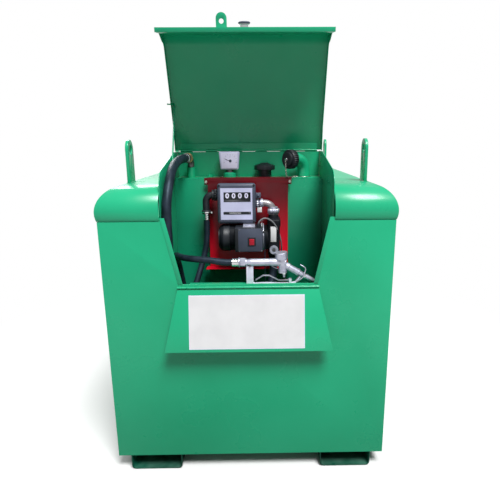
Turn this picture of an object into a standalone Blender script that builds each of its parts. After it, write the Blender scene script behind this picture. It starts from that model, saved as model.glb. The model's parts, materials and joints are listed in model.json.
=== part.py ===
"""Bunded diesel tank with a pump cabinet, in metres, +Z up, front towards -Y.

Sizes are written in the tank's own terms: x from its middle, y back from the
front plate's face, z up from its underside. at() turns them into the model's
frame, whose origin is on the ground under the middle of the whole object.
"""

import math

import bmesh
import bpy
from mathutils import Matrix, Vector

# Tank body
WIDTH = 1.2
LENGTH = 1.6
TOP_H = 1.215
COVER_DROP = 0.139
WALL_H = TOP_H - COVER_DROP
PLATE = 0.004
GAP = 0.0003
FOOT_H = 0.072
FOOT_WIDTH = 0.23
FOOT_IN = 0.17
FOOT_X = WIDTH / 2 - FOOT_IN
FOOT_BEND = 0.02

# Rolled top cover
ROLL_RADIUS = 0.105
COVER_PROUD = 0.006
TUCK_ANGLE = math.radians(-18)
ROLL_STEPS = 18

# Pump cabinet
CABINET_DEPTH = 0.4
CABINET_FLOOR_Z = TOP_H - 0.765
SHELF_DEPTH = 0.1
SHEET = 0.003
CHEEK_X = 0.352
CHEEK_TOP = TOP_H + 0.123
CHEEK_FRONT = 0.02
CHEEK_CORNER = ((0.09, 0.063), (0.065, 0.072), (0.042, 0.09), (0.028, 0.116))
CHEEK_SLOT_Y = 0.11
CABINET_WALL_X = 0.3553
WALL_NOSE_Y = 0.0065
WALL_TOP_Y = 0.1
WALL_SLOPE_Y = 0.045
WALL_SLOPE_DROP = 0.045
NOTCH_TOP_X = 0.332
NOTCH_BOTTOM_X = 0.2715
NOTCH_Z = TOP_H - 0.402
TONGUE_H = 0.014
STRIP_WIDTH = 0.018
STRIP_THICK = 0.0015
SILL_Z = TOP_H - 0.415
SILL_DEPTH = 0.06
SILL_X = 0.25

# Inner tank
INNER_SIDE = 0.1
INNER_X = WIDTH / 2 - INNER_SIDE
INNER_REAR = 0.11
INNER_FLOOR_Z = 0.06
BEARER_X = 0.34
BEARER_WIDTH = 0.06

# Lifting eyes
EYE_IN = 0.094
EYE_X = WIDTH / 2 - EYE_IN
EYE_THICK = 0.012
EYE_LENGTH = 0.083
EYE_HEIGHT = 0.18
EYE_INSET = 0.164
EYE_HOLE = 0.02

# Hinges
BARREL = 0.005
PIN = 0.0025
BORE = 0.0028
LEAF = 0.002
LEAF_WIDTH = 0.034
KNUCKLE_GAP = 0.001

# Lid
LID_X = 0.3595
LID_SHEET = 0.0025
LID_OPEN = math.radians(81)
LID_STRIP = 0.122
LID_STRIP_RISE = math.radians(1.5)
LID_SLOPE = math.radians(11.5)
LID_FRONT_CLEAR = 0.0053
LID_CORNER = 0.065
LID_LOWER_Z = TOP_H - 0.13
LID_LIP = 0.015
LID_FLANGE = 0.033
LID_FLANGE_END_Z = TOP_H - 0.055
LID_HINGE_Z = TOP_H + 0.127
LID_HINGE_HALF = 0.338
LID_KNUCKLES = 11
PADLOCK_OUT = 0.05
PADLOCK_HOLE = 0.0095
TAB_X = -0.094
TAB_WIDTH = 0.043
TAB_THICK = 0.004
LID_TAB_REACH = 0.068
LOCK_X = -0.005
LOCK_UP = 0.036
LOCK_RADIUS = 0.02

# Stay that props the lid open
STAY_RADIUS = 0.0035
STAY_X = 0.3445
STAY_LENGTH = 0.286
STAY_LEAN = math.radians(26.8)
STAY_PIVOT_Y = CABINET_DEPTH - 0.12
STAY_PIVOT_DROP = 0.0105
STAY_HOLE = 0.0041

# Drop-down flap
FLAP_HINGE_OUT = 0.0068
FLAP_HINGE_Z = SILL_Z
FLAP_BOTTOM_X = 0.2935
FLAP_TOP_X = 0.35
FLAP_LENGTH = 0.27
FLAP_SHEET = 0.002
FLAP_RETURN = 0.006
FLAP_RETURN_START = 0.03
FLAP_CLEAR = 0.0007
FLAP_BOTTOM = 0.0085
FLAP_TAB_REACH = 0.066
FLAP_STOP_GAP = 0.001
FLAP_KNUCKLES = 15

# Pump bracket
BRACKET_X = -0.004
BRACKET_HALF = 0.191
BRACKET_STAND = 0.0245
BRACKET_BOTTOM = TOP_H - 0.429
BRACKET_LIP = 0.052
BRACKET_TOP_REACH = 0.016
BRACKET_EAR = 0.016

# Flow meter
METER_X = -0.055
METER_Z = TOP_H - 0.1075
METER_WIDTH = 0.176
METER_HEIGHT = 0.185
METER_FRONT = CABINET_DEPTH - 0.13
METER_FRAME = 0.042
METER_CHAMBER = 0.07
FACE_SIZE = 0.146
FACE_DEPTH = 0.003
PORT_Y = CABINET_DEPTH - 0.075
PORT_RADIUS = 0.021
OUTLET_Z = TOP_H - 0.072
INLET_Z = TOP_H - 0.111
PORT_REACH = 0.017
OUTLET_X = -0.2
HOSE_START_Z = TOP_H - 0.187
INLET_X = 0.115
ELBOW_RADIUS = 0.0165

# Pump
MOTOR_RADIUS = 0.062
MOTOR_Y = CABINET_DEPTH - 0.097
MOTOR_Z = TOP_H - 0.27
MOTOR_LEFT = -0.139
MOTOR_RIGHT = 0.067
HEAD_RIGHT = 0.143
HEAD_RADIUS = 0.058
HEAD_TOP_Z = TOP_H - 0.1645
HEAD_BOTTOM_Z = TOP_H - 0.365
BOX_LEFT = -0.063
BOX_RIGHT = 0.065
BOX_TOP = TOP_H - 0.208
BOX_BOTTOM = TOP_H - 0.318
BOX_FRONT = CABINET_DEPTH - 0.195
BOX_BACK = CABINET_DEPTH - 0.11
SWITCH_X = 0.0135
SWITCH_Z = TOP_H - 0.271
SWITCH_WIDTH = 0.022
SWITCH_HEIGHT = 0.029
SWITCH_TILT = math.radians(7)

# Motor cable and supply lead
CABLE_RADIUS = 0.0035
CABLE_X = 0.045
CABLE_INSET = 0.023
CABLE_STRAIGHT = 0.008
CABLE_END_X = 0.152
CABLE_DROP = 0.1
LEAD_RADIUS = 0.0022
LEAD_INSET = 0.017
LEAD_DROP = 0.022
LEAD_END_X = 0.075
LEAD_END_Y = 0.18

# Fittings on the shelf
FITTING_Y = CABINET_DEPTH + 0.05
SUCTION_X = -0.281
SUCTION_RADIUS = 0.0205
SUCTION_PIPE_TOP = TOP_H + 0.05
SUCTION_AXIS_Z = TOP_H + 0.095
SUCTION_TAIL = 0.06
SUCTION_TURN = math.radians(258)
HOSE_RADIUS_SUCTION = 0.02
GAUGE_X = -0.0934
GAUGE_WIDTH = 0.101
GAUGE_TOP = TOP_H + 0.123
GAUGE_BOTTOM = TOP_H + 0.037
GAUGE_DEPTH = 0.044
VENT_X = 0.0765
VENT_RADIUS = 0.05
VENT_NECK = 0.0325
VENT_BRIM = 0.021
VENT_PEAK = 0.014
VENT_TOP = TOP_H + 0.069
FILL_X = 0.267
FILL_RADIUS = 0.03
FILL_AXIS_Z = TOP_H + 0.0865
FILL_BEND = 0.055
FILL_TURN = math.radians(221)
CAP_RADIUS = 0.0415
CAP_RIDGES = 20

# Delivery hose, its coil and the nozzle
HOSE_RADIUS = 0.0138
COIL_X = -0.155
COIL_Y = CABINET_DEPTH / 2
COIL_RADIUS = 0.15
COIL_TURNS = 3
NOZZLE_Y = 0.04
HANDLE_Z = SILL_Z + 0.094
HANDLE_RADIUS = 0.0155
NOZZLE_TAIL_X = -0.0635
GUARD_LEFT = 0.0065
GUARD_POST = 0.0145
GUARD_WIDTH = 0.018
LUG_THICK = 0.0025
GUARD_THICK = 0.004
VALVE_X = 0.146
SPOUT_END_X = 0.277
SPOUT_RADIUS = 0.0125
SPOUT_TIP_RADIUS = 0.0095
TRIGGER_PIVOT_X = 0.176
TRIGGER_PIVOT_Z = SILL_Z + 0.016

# Routes of the hoses and leads, as drawn for this shelf height and cabinet depth
ROUTE_TOP = 1.215
ROUTE_DEPTH = 0.4
DROP_ROUTE = [
    (-0.2003, 0.3255, 0.99),
    (-0.203, 0.324, 0.935),
    (-0.212, 0.315, 0.875),
    (-0.227, 0.295, 0.818),
    (-0.243, 0.269, 0.765),
    (-0.261, 0.247, 0.712),
    (-0.2815, 0.2315, 0.6575),
    (-0.3025, 0.2145, 0.6085),
    (-0.32, 0.19, 0.5635),
    (-0.329, 0.1575, 0.5275),
    (-0.3203, 0.1215, 0.4985),
    (-0.2992, 0.088, 0.4805),
    (-0.2712, 0.0617, 0.471),
    (-0.253, 0.0492, 0.468),
]
RETURN_ROUTE = [
    (-0.2095, 0.3497, 0.5535),
    (-0.25, 0.3485, 0.569),
    (-0.2865, 0.346, 0.599),
    (-0.312, 0.342, 0.644),
    (-0.3255, 0.335, 0.7),
    (-0.332, 0.32, 0.76),
    (-0.334, 0.292, 0.812),
    (-0.334, 0.25, 0.855),
    (-0.33, 0.2025, 0.883),
    (-0.318, 0.1555, 0.897),
    (-0.2965, 0.1145, 0.902),
    (-0.264, 0.0825, 0.9035),
    (-0.2225, 0.0625, 0.904),
    (-0.172, 0.051, 0.902),
    (-0.122, 0.0435, 0.897),
]
SUCTION_ROUTE = [
    (-0.312, 0.29, 1.303),
    (-0.318, 0.2, 1.284),
    (-0.3205, 0.13, 1.25),
    (-0.322, 0.08, 1.208),
    (-0.3255, 0.047, 1.155),
    (-0.327, 0.034, 1.095),
    (-0.327, 0.031, 1.0),
    (-0.327, 0.031, 0.88),
    (-0.326, 0.032, 0.78),
    (-0.318, 0.036, 0.69),
    (-0.288, 0.042, 0.622),
    (-0.235, 0.05, 0.588),
    (-0.17, 0.065, 0.575),
    (-0.1, 0.092, 0.577),
    (-0.025, 0.138, 0.596),
    (0.045, 0.2, 0.64),
    (0.092, 0.257, 0.7),
    (0.111, 0.291, 0.765),
]
CABLE_ROUTE = [
    (0.048, 0.229, 1.032),
    (0.0735, 0.232, 1.047),
    (0.108, 0.238, 1.03),
    (0.135, 0.248, 0.985),
    (0.1485, 0.262, 0.93),
    (0.152, 0.285, 0.88),
    (0.152, 0.33, 0.85),
]
LEAD_ROUTE = [
    (0.0705, 0.2195, 0.981),
    (0.0718, 0.2145, 0.965),
    (0.0722, 0.213, 0.93),
]
LEAD_FALL = [
    (0.073, 0.207, 0.8),
    (0.0745, 0.188, 0.66),
    (0.075, 0.181, 0.55),
]

# Places that follow from these sizes
HANG_TIP_Y = FLAP_TAB_REACH - FLAP_HINGE_OUT
HANG_TIP_UP = FLAP_LENGTH - FLAP_SHEET + GAP - TAB_THICK
FLAP_TURN = (
    math.pi
    + math.asin((FLAP_HINGE_OUT - FLAP_STOP_GAP) / math.hypot(HANG_TIP_Y, HANG_TIP_UP))
    - math.atan2(HANG_TIP_Y, HANG_TIP_UP)
)
FLAP_REACH = FLAP_HINGE_OUT - FLAP_LENGTH * math.sin(FLAP_TURN + math.pi)
FRONT = -(LENGTH + COVER_PROUD - FLAP_REACH) / 2
BACK_Y = CABINET_DEPTH + SHELF_DEPTH
LID_HINGE_Y = BACK_Y + PLATE + GAP + LEAF - BARREL
LID_TOP = LID_HINGE_Z + BARREL + 0.0005 + LID_SHEET
LID_FRONT = COVER_PROUD + LID_FRONT_CLEAR + LID_SHEET
LID_BEND_Y = LID_HINGE_Y - LID_STRIP
LID_BEND_Z = LID_TOP + LID_STRIP * math.tan(LID_STRIP_RISE)
LID_CORNER_Z = LID_BEND_Z - (LID_BEND_Y + LID_FRONT) * math.tan(LID_SLOPE)
SHELF_TOP = TOP_H
BRACKET_Y = CABINET_DEPTH - BRACKET_STAND
WALL_INSET = PLATE + GAP
COIL_FLOOR = CABINET_FLOOR_Z + SHEET + GAP
COIL_TOP = COIL_FLOOR + 2 * HOSE_RADIUS * COIL_TURNS

# Materials: colour, roughness, metallic
FINISHES = {
    "green_paint": ((0.02, 0.42, 0.2), 0.3, 0.0),
    "red_paint": ((0.35, 0.005, 0.01), 0.35, 0.0),
    "black_casting": ((0.02, 0.02, 0.025), 0.45, 0.0),
    "slate_casting": ((0.08, 0.09, 0.12), 0.45, 0.0),
    "pale_panel": ((0.7, 0.7, 0.82), 0.5, 0.0),
    "white_plastic": ((0.8, 0.8, 0.8), 0.4, 0.0),
    "black_rubber": ((0.02, 0.02, 0.025), 0.6, 0.0),
    "bright_metal": ((0.6, 0.6, 0.62), 0.3, 1.0),
    "dark_metal": ((0.15, 0.14, 0.14), 0.45, 1.0),
    "red_plastic": ((0.6, 0.02, 0.02), 0.35, 0.0),
    "grey_cable": ((0.35, 0.36, 0.38), 0.6, 0.0),
}


def at(x, y, z):
    """A point of the tank, given from its middle, front face and underside."""
    return Vector((x, FRONT + y, FOOT_H + z))


def clear_scene():
    for thing in list(bpy.data.objects):
        bpy.data.objects.remove(thing, do_unlink=True)


def new_collection(name):
    collection = bpy.data.collections.new(name)
    bpy.context.scene.collection.children.link(collection)
    return collection


def finish(name):
    """The named material, made the first time that it is asked for."""
    material = bpy.data.materials.get(name)
    if material is None:
        colour, roughness, metallic = FINISHES[name]
        material = bpy.data.materials.new(name)
        material.use_nodes = True
        shader = material.node_tree.nodes["Principled BSDF"]
        shader.inputs["Base Color"].default_value = (*colour, 1.0)
        shader.inputs["Roughness"].default_value = roughness
        shader.inputs["Metallic"].default_value = metallic
        material.diffuse_color = (*colour, 1.0)
    return material


def object_from(bm, name, material):
    """Turn a bmesh into an object among the parts, faces outward."""
    bmesh.ops.recalc_face_normals(bm, faces=bm.faces)
    mesh = bpy.data.meshes.new(name)
    bm.to_mesh(mesh)
    bm.free()
    obj = bpy.data.objects.new(name, mesh)
    PARTS.objects.link(obj)
    mesh.materials.append(finish(material))
    return obj


def box(name, low, high, material="green_paint"):
    """A block between two corners, each an x, y, z of the tank."""
    low, high = at(*low), at(*high)
    bm = bmesh.new()
    bmesh.ops.create_cube(bm, size=1)
    bmesh.ops.scale(bm, vec=high - low, verts=bm.verts)
    bmesh.ops.translate(bm, vec=(low + high) / 2, verts=bm.verts)
    return object_from(bm, name, material)


def spread(axis, u, v, along):
    """Place an outline's point: (y, z) across X, (x, z) across Y, (x, y) across Z."""
    if axis == "X":
        return at(along, u, v)
    if axis == "Y":
        return at(u, along, v)
    return at(u, v, along)


def prism(name, outline, axis, start, end, material="green_paint"):
    """A flat outline carried along an axis from start to end."""
    bm = bmesh.new()
    face = bm.faces.new([bm.verts.new(spread(axis, u, v, start)) for u, v in outline])
    carried = bmesh.ops.extrude_face_region(bm, geom=[face])["geom"]
    moved = [part for part in carried if isinstance(part, bmesh.types.BMVert)]
    step = spread(axis, 0, 0, end) - spread(axis, 0, 0, start)
    bmesh.ops.translate(bm, vec=step, verts=moved)
    return object_from(bm, name, material)


def rod(name, start, end, radius, material="green_paint", sides=24, end_radius=None):
    """A cylinder, or a cone, between two points of the tank."""
    start, end = at(*start), at(*end)
    along = end - start
    bm = bmesh.new()
    bmesh.ops.create_cone(
        bm,
        cap_ends=True,
        segments=sides,
        radius1=radius,
        radius2=radius if end_radius is None else end_radius,
        depth=along.length,
    )
    turn = along.to_track_quat("Z", "Y").to_matrix().to_4x4()
    place = Matrix.Translation((start + end) / 2) @ turn
    bmesh.ops.transform(bm, matrix=place, verts=bm.verts)
    return object_from(bm, name, material)


def turned(name, profile, centre, direction, material, steps=32):
    """A profile of (radius, height) points, listed from its foot up, spun about a direction."""
    mesh = bpy.data.meshes.new(name)
    points = [(radius, 0.0, height) for radius, height in reversed(profile)]
    edges = [(i, i + 1) for i in range(len(points) - 1)]
    mesh.from_pydata(points, edges, [])
    mesh.materials.append(finish(material))
    obj = bpy.data.objects.new(name, mesh)
    PARTS.objects.link(obj)
    obj.location = at(*centre)
    obj.rotation_euler = Vector(direction).to_track_quat("Z", "Y").to_euler()
    screw = obj.modifiers.new("Spin", "SCREW")
    screw.steps = steps
    screw.render_steps = steps
    screw.use_merge_vertices = True
    screw.merge_threshold = 0.00001
    return obj


def smooth_route(points, count):
    """Points along the given ones: straight over the first and last step, smooth between."""
    points = [Vector(point) for point in points]
    parts = len(points) - 3
    route = [points[0]]
    for i in range(count):
        place = i * parts / (count - 1)
        part = min(int(place), parts - 1)
        t = place - part
        a, b, c, d = points[part : part + 4]
        bend = (2 * a - 5 * b + 4 * c - d) * t * t + (3 * b - a - 3 * c + d) * t**3
        route.append((2 * b + (c - a) * t + bend) / 2)
    return route + [points[-1]]


def fitted(route):
    """A drawn route, carried to the shelf height and cabinet depth that are set."""
    share = CABINET_DEPTH / ROUTE_DEPTH
    return [(x, y * share, z + TOP_H - ROUTE_TOP) for x, y, z in route]


def beside_pump(route):
    """A drawn route that keeps its place beside the pump."""
    back = CABINET_DEPTH - ROUTE_DEPTH
    return [(x, y + back, z + TOP_H - ROUTE_TOP) for x, y, z in route]


def tube(name, points, radius, material, fineness=3):
    """A round bar along points of the tank, closed at both ends."""
    curve = bpy.data.curves.new(name, "CURVE")
    curve.dimensions = "3D"
    curve.bevel_depth = radius
    curve.bevel_resolution = fineness
    curve.use_fill_caps = True
    curve.materials.append(finish(material))
    spline = curve.splines.new("POLY")
    spline.points.add(len(points) - 1)
    for place, point in zip(spline.points, points):
        place.co = (*at(*point), 1.0)
    obj = bpy.data.objects.new(name, curve)
    PARTS.objects.link(obj)
    return obj


def as_mesh(obj):
    """Turn a curve object into a mesh object whose caps are welded on."""
    graph = bpy.context.evaluated_depsgraph_get()
    mesh = bpy.data.meshes.new_from_object(obj.evaluated_get(graph))
    name, place = obj.name, obj.matrix_world.copy()
    bpy.data.objects.remove(obj, do_unlink=True)
    bm = bmesh.new()
    bm.from_mesh(mesh)
    bmesh.ops.remove_doubles(bm, verts=bm.verts, dist=0.00001)
    bm.to_mesh(mesh)
    bm.free()
    solid = bpy.data.objects.new(name, mesh)
    PARTS.objects.link(solid)
    solid.matrix_world = place
    return solid


def put_away(helper, owner):
    """Keep a cutter or a joined-in shape out of the parts, moving with its owner."""
    PARTS.objects.unlink(helper)
    CUTTERS.objects.link(helper)
    helper.hide_render = True
    helper.display_type = "WIRE"
    bpy.context.view_layer.update()
    helper.parent = owner
    helper.matrix_parent_inverse = owner.matrix_world.inverted()


def combine(obj, others, operation):
    for other in others:
        step = obj.modifiers.new(other.name, "BOOLEAN")
        step.operation = operation
        step.object = other
        put_away(other, obj)
    return obj


def cut(obj, *others):
    return combine(obj, others, "DIFFERENCE")


def join(obj, *others):
    return combine(obj, others, "UNION")


def soften(obj, width, segments=2, angle=40):
    bevel = obj.modifiers.new("Soft edges", "BEVEL")
    bevel.width = width
    bevel.segments = segments
    bevel.limit_method = "ANGLE"
    bevel.angle_limit = math.radians(angle)
    return obj


def arc(centre, radius, start, end, steps):
    """Points of an arc in an outline's plane, angles in degrees."""
    points = []
    for i in range(steps + 1):
        angle = math.radians(start + (end - start) * i / steps)
        points.append((centre[0] + radius * math.cos(angle), centre[1] + radius * math.sin(angle)))
    return points


def folded_sheet(name, profile, axis, start, end, thickness, material="green_paint"):
    """A sheet bent along an open profile, its thickness on the profile's right-hand side."""
    bm = bmesh.new()
    near = [bm.verts.new(spread(axis, u, v, start)) for u, v in profile]
    edges = [bm.edges.new(pair) for pair in zip(near, near[1:])]
    carried = bmesh.ops.extrude_edge_only(bm, edges=edges)["geom"]
    moved = [part for part in carried if isinstance(part, bmesh.types.BMVert)]
    step = spread(axis, 0, 0, end) - spread(axis, 0, 0, start)
    bmesh.ops.translate(bm, vec=step, verts=moved)
    mesh = bpy.data.meshes.new(name)
    bm.to_mesh(mesh)
    bm.free()
    mesh.materials.append(finish(material))
    obj = bpy.data.objects.new(name, mesh)
    PARTS.objects.link(obj)
    thicken = obj.modifiers.new("Thickness", "SOLIDIFY")
    thicken.thickness = thickness
    thicken.offset = -1
    thicken.use_even_offset = True
    return obj


def mirrored(outline):
    return [(-u, v) for u, v in reversed(outline)]


def make_bund():
    """The outer tank: floor, four plates and the strips beside the cut-out."""
    inside = WIDTH / 2 - WALL_INSET
    box(
        "bund_floor",
        (-inside, WALL_INSET, 0),
        (inside, LENGTH - WALL_INSET, PLATE),
    )
    tongue = WALL_H + TONGUE_H
    half = [
        (0, 0),
        (WIDTH / 2, 0),
        (WIDTH / 2, WALL_H),
        (CHEEK_X, WALL_H),
        (CHEEK_X, tongue),
        (NOTCH_TOP_X, tongue),
        (NOTCH_BOTTOM_X, NOTCH_Z),
    ]
    outline = half[1:] + mirrored(half[1:])
    prism("bund_front_wall", outline, "Y", 0, PLATE)
    box("bund_rear_wall", (-WIDTH / 2, LENGTH - PLATE, 0), (WIDTH / 2, LENGTH, WALL_H))
    for side, sign in (("left", -1), ("right", 1)):
        box(
            f"bund_{side}_wall",
            (min(sign * WIDTH / 2, sign * (WIDTH / 2 - PLATE)), WALL_INSET, 0),
            (max(sign * WIDTH / 2, sign * (WIDTH / 2 - PLATE)), LENGTH - WALL_INSET, WALL_H),
        )
        strip = [
            (sign * NOTCH_BOTTOM_X, NOTCH_Z),
            (sign * (NOTCH_BOTTOM_X + STRIP_WIDTH), NOTCH_Z),
            (sign * (NOTCH_TOP_X + STRIP_WIDTH), tongue),
            (sign * NOTCH_TOP_X, tongue),
        ]
        prism(f"{side}_seat_strip", strip, "Y", -GAP - STRIP_THICK, -GAP)
    box(
        "cabinet_sill",
        (-SILL_X, WALL_INSET, SILL_Z - SHEET),
        (SILL_X, WALL_INSET + SILL_DEPTH, SILL_Z),
    )


def make_top_cover():
    """A rectangular cover whose four edges roll down and tuck in over the seam."""
    half_x = WIDTH / 2 + COVER_PROUD - ROLL_RADIUS
    half_y = LENGTH / 2 + COVER_PROUD - ROLL_RADIUS
    middle = at(0, LENGTH / 2, 0)
    bm = bmesh.new()
    bmesh.ops.create_grid(bm, x_segments=1, y_segments=1, size=1)
    for vert in bm.verts:
        corner = (vert.co.x * half_x, middle.y + vert.co.y * half_y)
        vert.co = (*corner, at(0, 0, TOP_H).z)
    for i in range(1, ROLL_STEPS + 1):
        angle = math.pi / 2 + (TUCK_ANGLE - math.pi / 2) * i / ROLL_STEPS
        out = ROLL_RADIUS * math.cos(angle)
        rim = [edge for edge in bm.edges if edge.is_boundary]
        carried = bmesh.ops.extrude_edge_only(bm, edges=rim)["geom"]
        for vert in carried:
            if isinstance(vert, bmesh.types.BMVert):
                x = math.copysign(half_x + out, vert.co.x)
                y = middle.y + math.copysign(half_y + out, vert.co.y - middle.y)
                z = at(0, 0, TOP_H - ROLL_RADIUS + ROLL_RADIUS * math.sin(angle)).z
                vert.co = (x, y, z)
    cover = object_from(bm, "top_cover", "green_paint")
    thicken = cover.modifiers.new("Thickness", "SOLIDIFY")
    thicken.thickness = PLATE
    thicken.offset = -1
    thicken.use_even_offset = True
    opening = box(
        "cover_opening",
        (-CHEEK_X - GAP, -COVER_PROUD * 5, WALL_H - PLATE),
        (CHEEK_X + GAP, BACK_Y + PLATE + GAP, TOP_H + PLATE),
    )
    cut(cover, opening)


def make_feet():
    """Two folded channels that stand the tank up and take a lift truck's forks."""
    for side, sign in (("left", -1), ("right", 1)):
        low, high = sign * FOOT_X - FOOT_WIDTH / 2, sign * FOOT_X + FOOT_WIDTH / 2
        bottom = -FOOT_H
        profile = [(low, -GAP)]
        profile += arc((low + FOOT_BEND, bottom + FOOT_BEND), FOOT_BEND, 180, 270, 5)
        profile += arc((high - FOOT_BEND, bottom + FOOT_BEND), FOOT_BEND, 270, 360, 5)
        profile += [(high, -GAP)]
        folded_sheet(f"{side}_fork_channel", profile, "Y", 0, LENGTH, PLATE)


def make_lifting_eyes():
    front = EYE_INSET
    rear = LENGTH - EYE_INSET - EYE_LENGTH
    foot = TOP_H + GAP
    for place, start in (("front", front), ("rear", rear)):
        for side, sign in (("left", -1), ("right", 1)):
            middle = start + EYE_LENGTH / 2
            top = foot + EYE_HEIGHT - EYE_LENGTH / 2
            outline = [(start, foot), (start + EYE_LENGTH, foot)]
            outline += arc((middle, top), EYE_LENGTH / 2, 0, 180, 16)
            low, high = sign * EYE_X - EYE_THICK / 2, sign * EYE_X + EYE_THICK / 2
            eye = prism(f"{place}_{side}_lifting_eye", outline, "X", low, high)
            hole = rod(
                f"{place}_{side}_eye_hole",
                (low - PLATE, middle, top),
                (high + PLATE, middle, top),
                EYE_HOLE,
                sides=48,
            )
            cut(eye, hole)


def make_cabinet():
    """The recess behind the cut-out: cheeks, side walls, floor, back panel and shelf."""
    rear = BACK_Y + PLATE
    foot = WALL_H + 2 * GAP
    slot = TOP_H - PLATE - GAP
    cheek = [(CHEEK_FRONT, foot), (CHEEK_SLOT_Y, foot), (CHEEK_SLOT_Y, slot)]
    cheek += [(rear, slot), (rear, CHEEK_TOP), (CABINET_DEPTH, CHEEK_TOP)]
    for y, drop in CHEEK_CORNER:
        cheek.append((y, CHEEK_TOP - drop))
    wall = [
        (WALL_INSET, CABINET_FLOOR_Z),
        (CABINET_DEPTH - GAP, CABINET_FLOOR_Z),
        (CABINET_DEPTH - GAP, slot - PLATE),
        (WALL_TOP_Y, slot - PLATE),
        (WALL_SLOPE_Y, TOP_H - WALL_SLOPE_DROP),
        (WALL_NOSE_Y, WALL_H - 2 * PLATE),
        (WALL_INSET, WALL_H - 2 * PLATE),
    ]
    for side, sign in (("left", -1), ("right", 1)):
        edges = sorted((sign * CHEEK_X, sign * (CHEEK_X - SHEET)))
        prism(f"{side}_cheek", cheek, "X", *edges)
        edges = sorted((sign * CABINET_WALL_X, sign * (CABINET_WALL_X + SHEET)))
        prism(f"cabinet_{side}_wall", wall, "X", *edges)
    between = CHEEK_X - SHEET - GAP
    box(
        "cabinet_back_panel",
        (-between, BACK_Y, SHELF_TOP + GAP),
        (between, rear, LID_HINGE_Z - BARREL - GAP * 4),
    )
    box(
        "fitting_shelf",
        (-between, CABINET_DEPTH - GAP, SHELF_TOP - SHEET),
        (between, rear, SHELF_TOP),
    )
    floor_x = CABINET_WALL_X - GAP
    box(
        "cabinet_floor",
        (-floor_x, WALL_INSET, CABINET_FLOOR_Z),
        (floor_x, CABINET_DEPTH - GAP, CABINET_FLOOR_Z + SHEET),
    )


def make_inner_tank():
    """The fuel tank proper, behind the cabinet and under the cover."""
    top = SHELF_TOP - SHEET - GAP
    front, rear = CABINET_DEPTH, LENGTH - INNER_REAR
    box(
        "inner_tank_front_wall",
        (-INNER_X, front, INNER_FLOOR_Z),
        (INNER_X, front + PLATE, top - PLATE),
    )
    join(
        bpy.data.objects["inner_tank_front_wall"],
        box(
            "front_wall_rise",
            (-CHEEK_X + SHEET + GAP, front, top - 2 * PLATE),
            (CHEEK_X - SHEET - GAP, front + PLATE, top),
        ),
    )
    shell = box(
        "inner_tank_shell",
        (-INNER_X, front + PLATE + GAP, INNER_FLOOR_Z),
        (INNER_X, rear, top - 2 * PLATE - GAP),
    )
    hollow = box(
        "inner_tank_space",
        (-INNER_X + PLATE, front, INNER_FLOOR_Z + PLATE),
        (INNER_X - PLATE, rear - PLATE, top + PLATE),
    )
    cut(shell, hollow)
    box(
        "inner_tank_roof",
        (-INNER_X, front + PLATE + GAP, top - 2 * PLATE),
        (INNER_X, rear, top - PLATE),
    )
    for side, sign in (("left", -1), ("right", 1)):
        box(
            f"inner_tank_{side}_bearer",
            (sign * BEARER_X - BEARER_WIDTH / 2, front, PLATE + GAP),
            (sign * BEARER_X + BEARER_WIDTH / 2, rear, INNER_FLOOR_Z - GAP),
        )


def comb(name, plate_low, plate_high, axis_y, axis_z, half, knuckles, odd, moving):
    """One leaf of a long hinge: a plate, its share of the knuckles, and the pin or its bore."""
    leaf = box(name, (-half, *plate_low), (half, *plate_high))
    barrel = rod(
        f"{name}_barrel",
        (-half, axis_y, axis_z),
        (half, axis_y, axis_z),
        BARREL,
        sides=12,
    )
    join(leaf, barrel)
    pitch = 2 * half / knuckles
    reach = BARREL + KNUCKLE_GAP
    for i in range(knuckles):
        if i % 2 == odd:
            continue
        low = -half + i * pitch - (KNUCKLE_GAP / 2 if i else PLATE)
        high = -half + (i + 1) * pitch + (KNUCKLE_GAP / 2 if i < knuckles - 1 else PLATE)
        gap = box(
            f"{name}_gap_{i}",
            (low, axis_y - reach, axis_z - reach),
            (high, axis_y + reach, axis_z + reach),
        )
        cut(leaf, gap)
    ends = ((-half - PLATE, axis_y, axis_z), (half + PLATE, axis_y, axis_z))
    if moving:
        cut(leaf, rod(f"{name}_bore", *ends, BORE, sides=12))
    else:
        ends = ((-half, axis_y, axis_z), (half, axis_y, axis_z))
        join(leaf, rod(f"{name}_pin", *ends, PIN, sides=12))
    return leaf


def hang(objects, x, y, z, angle):
    """Turn pieces that are modelled closed about an X axis, under an empty that lies on it."""
    pivot = bpy.data.objects.new(f"{objects[0].name}_axis", None)
    PARTS.objects.link(pivot)
    place = at(x, y, z)
    pivot.location = place
    pivot.rotation_euler.x = angle
    bpy.context.view_layer.update()
    for obj in objects:
        obj.parent = pivot
        obj.matrix_parent_inverse = Matrix.Translation(-place)
    return pivot


def lid_outline():
    """The lid's outer profile, closed: strip, slope, rounded corner, front and lip, as (y, z)."""
    turn = math.pi / 2 - LID_SLOPE
    tangent = LID_CORNER * math.tan(turn / 2)
    down = LID_SLOPE
    start = (
        -LID_FRONT + tangent * math.cos(down),
        LID_CORNER_Z + tangent * math.sin(down),
    )
    centre = (-LID_FRONT + LID_CORNER, LID_CORNER_Z - tangent)
    first = math.degrees(math.atan2(start[1] - centre[1], start[0] - centre[0]))
    profile = [(LID_HINGE_Y, LID_TOP), (LID_BEND_Y, LID_BEND_Z)]
    profile += arc(centre, LID_CORNER, first, 180, 8)
    profile += [(-LID_FRONT, LID_LOWER_Z)]
    return profile


def inner_line(profile, depth):
    """The same profile moved inwards, under the strip and slope and behind the front."""
    moved = []
    for i, point in enumerate(profile):
        before = Vector(profile[max(i - 1, 0)])
        after = Vector(profile[min(i + 1, len(profile) - 1)])
        way = (after - before).normalized()
        moved.append((point[0] - way.y * depth, point[1] + way.x * depth))
    return moved


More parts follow.
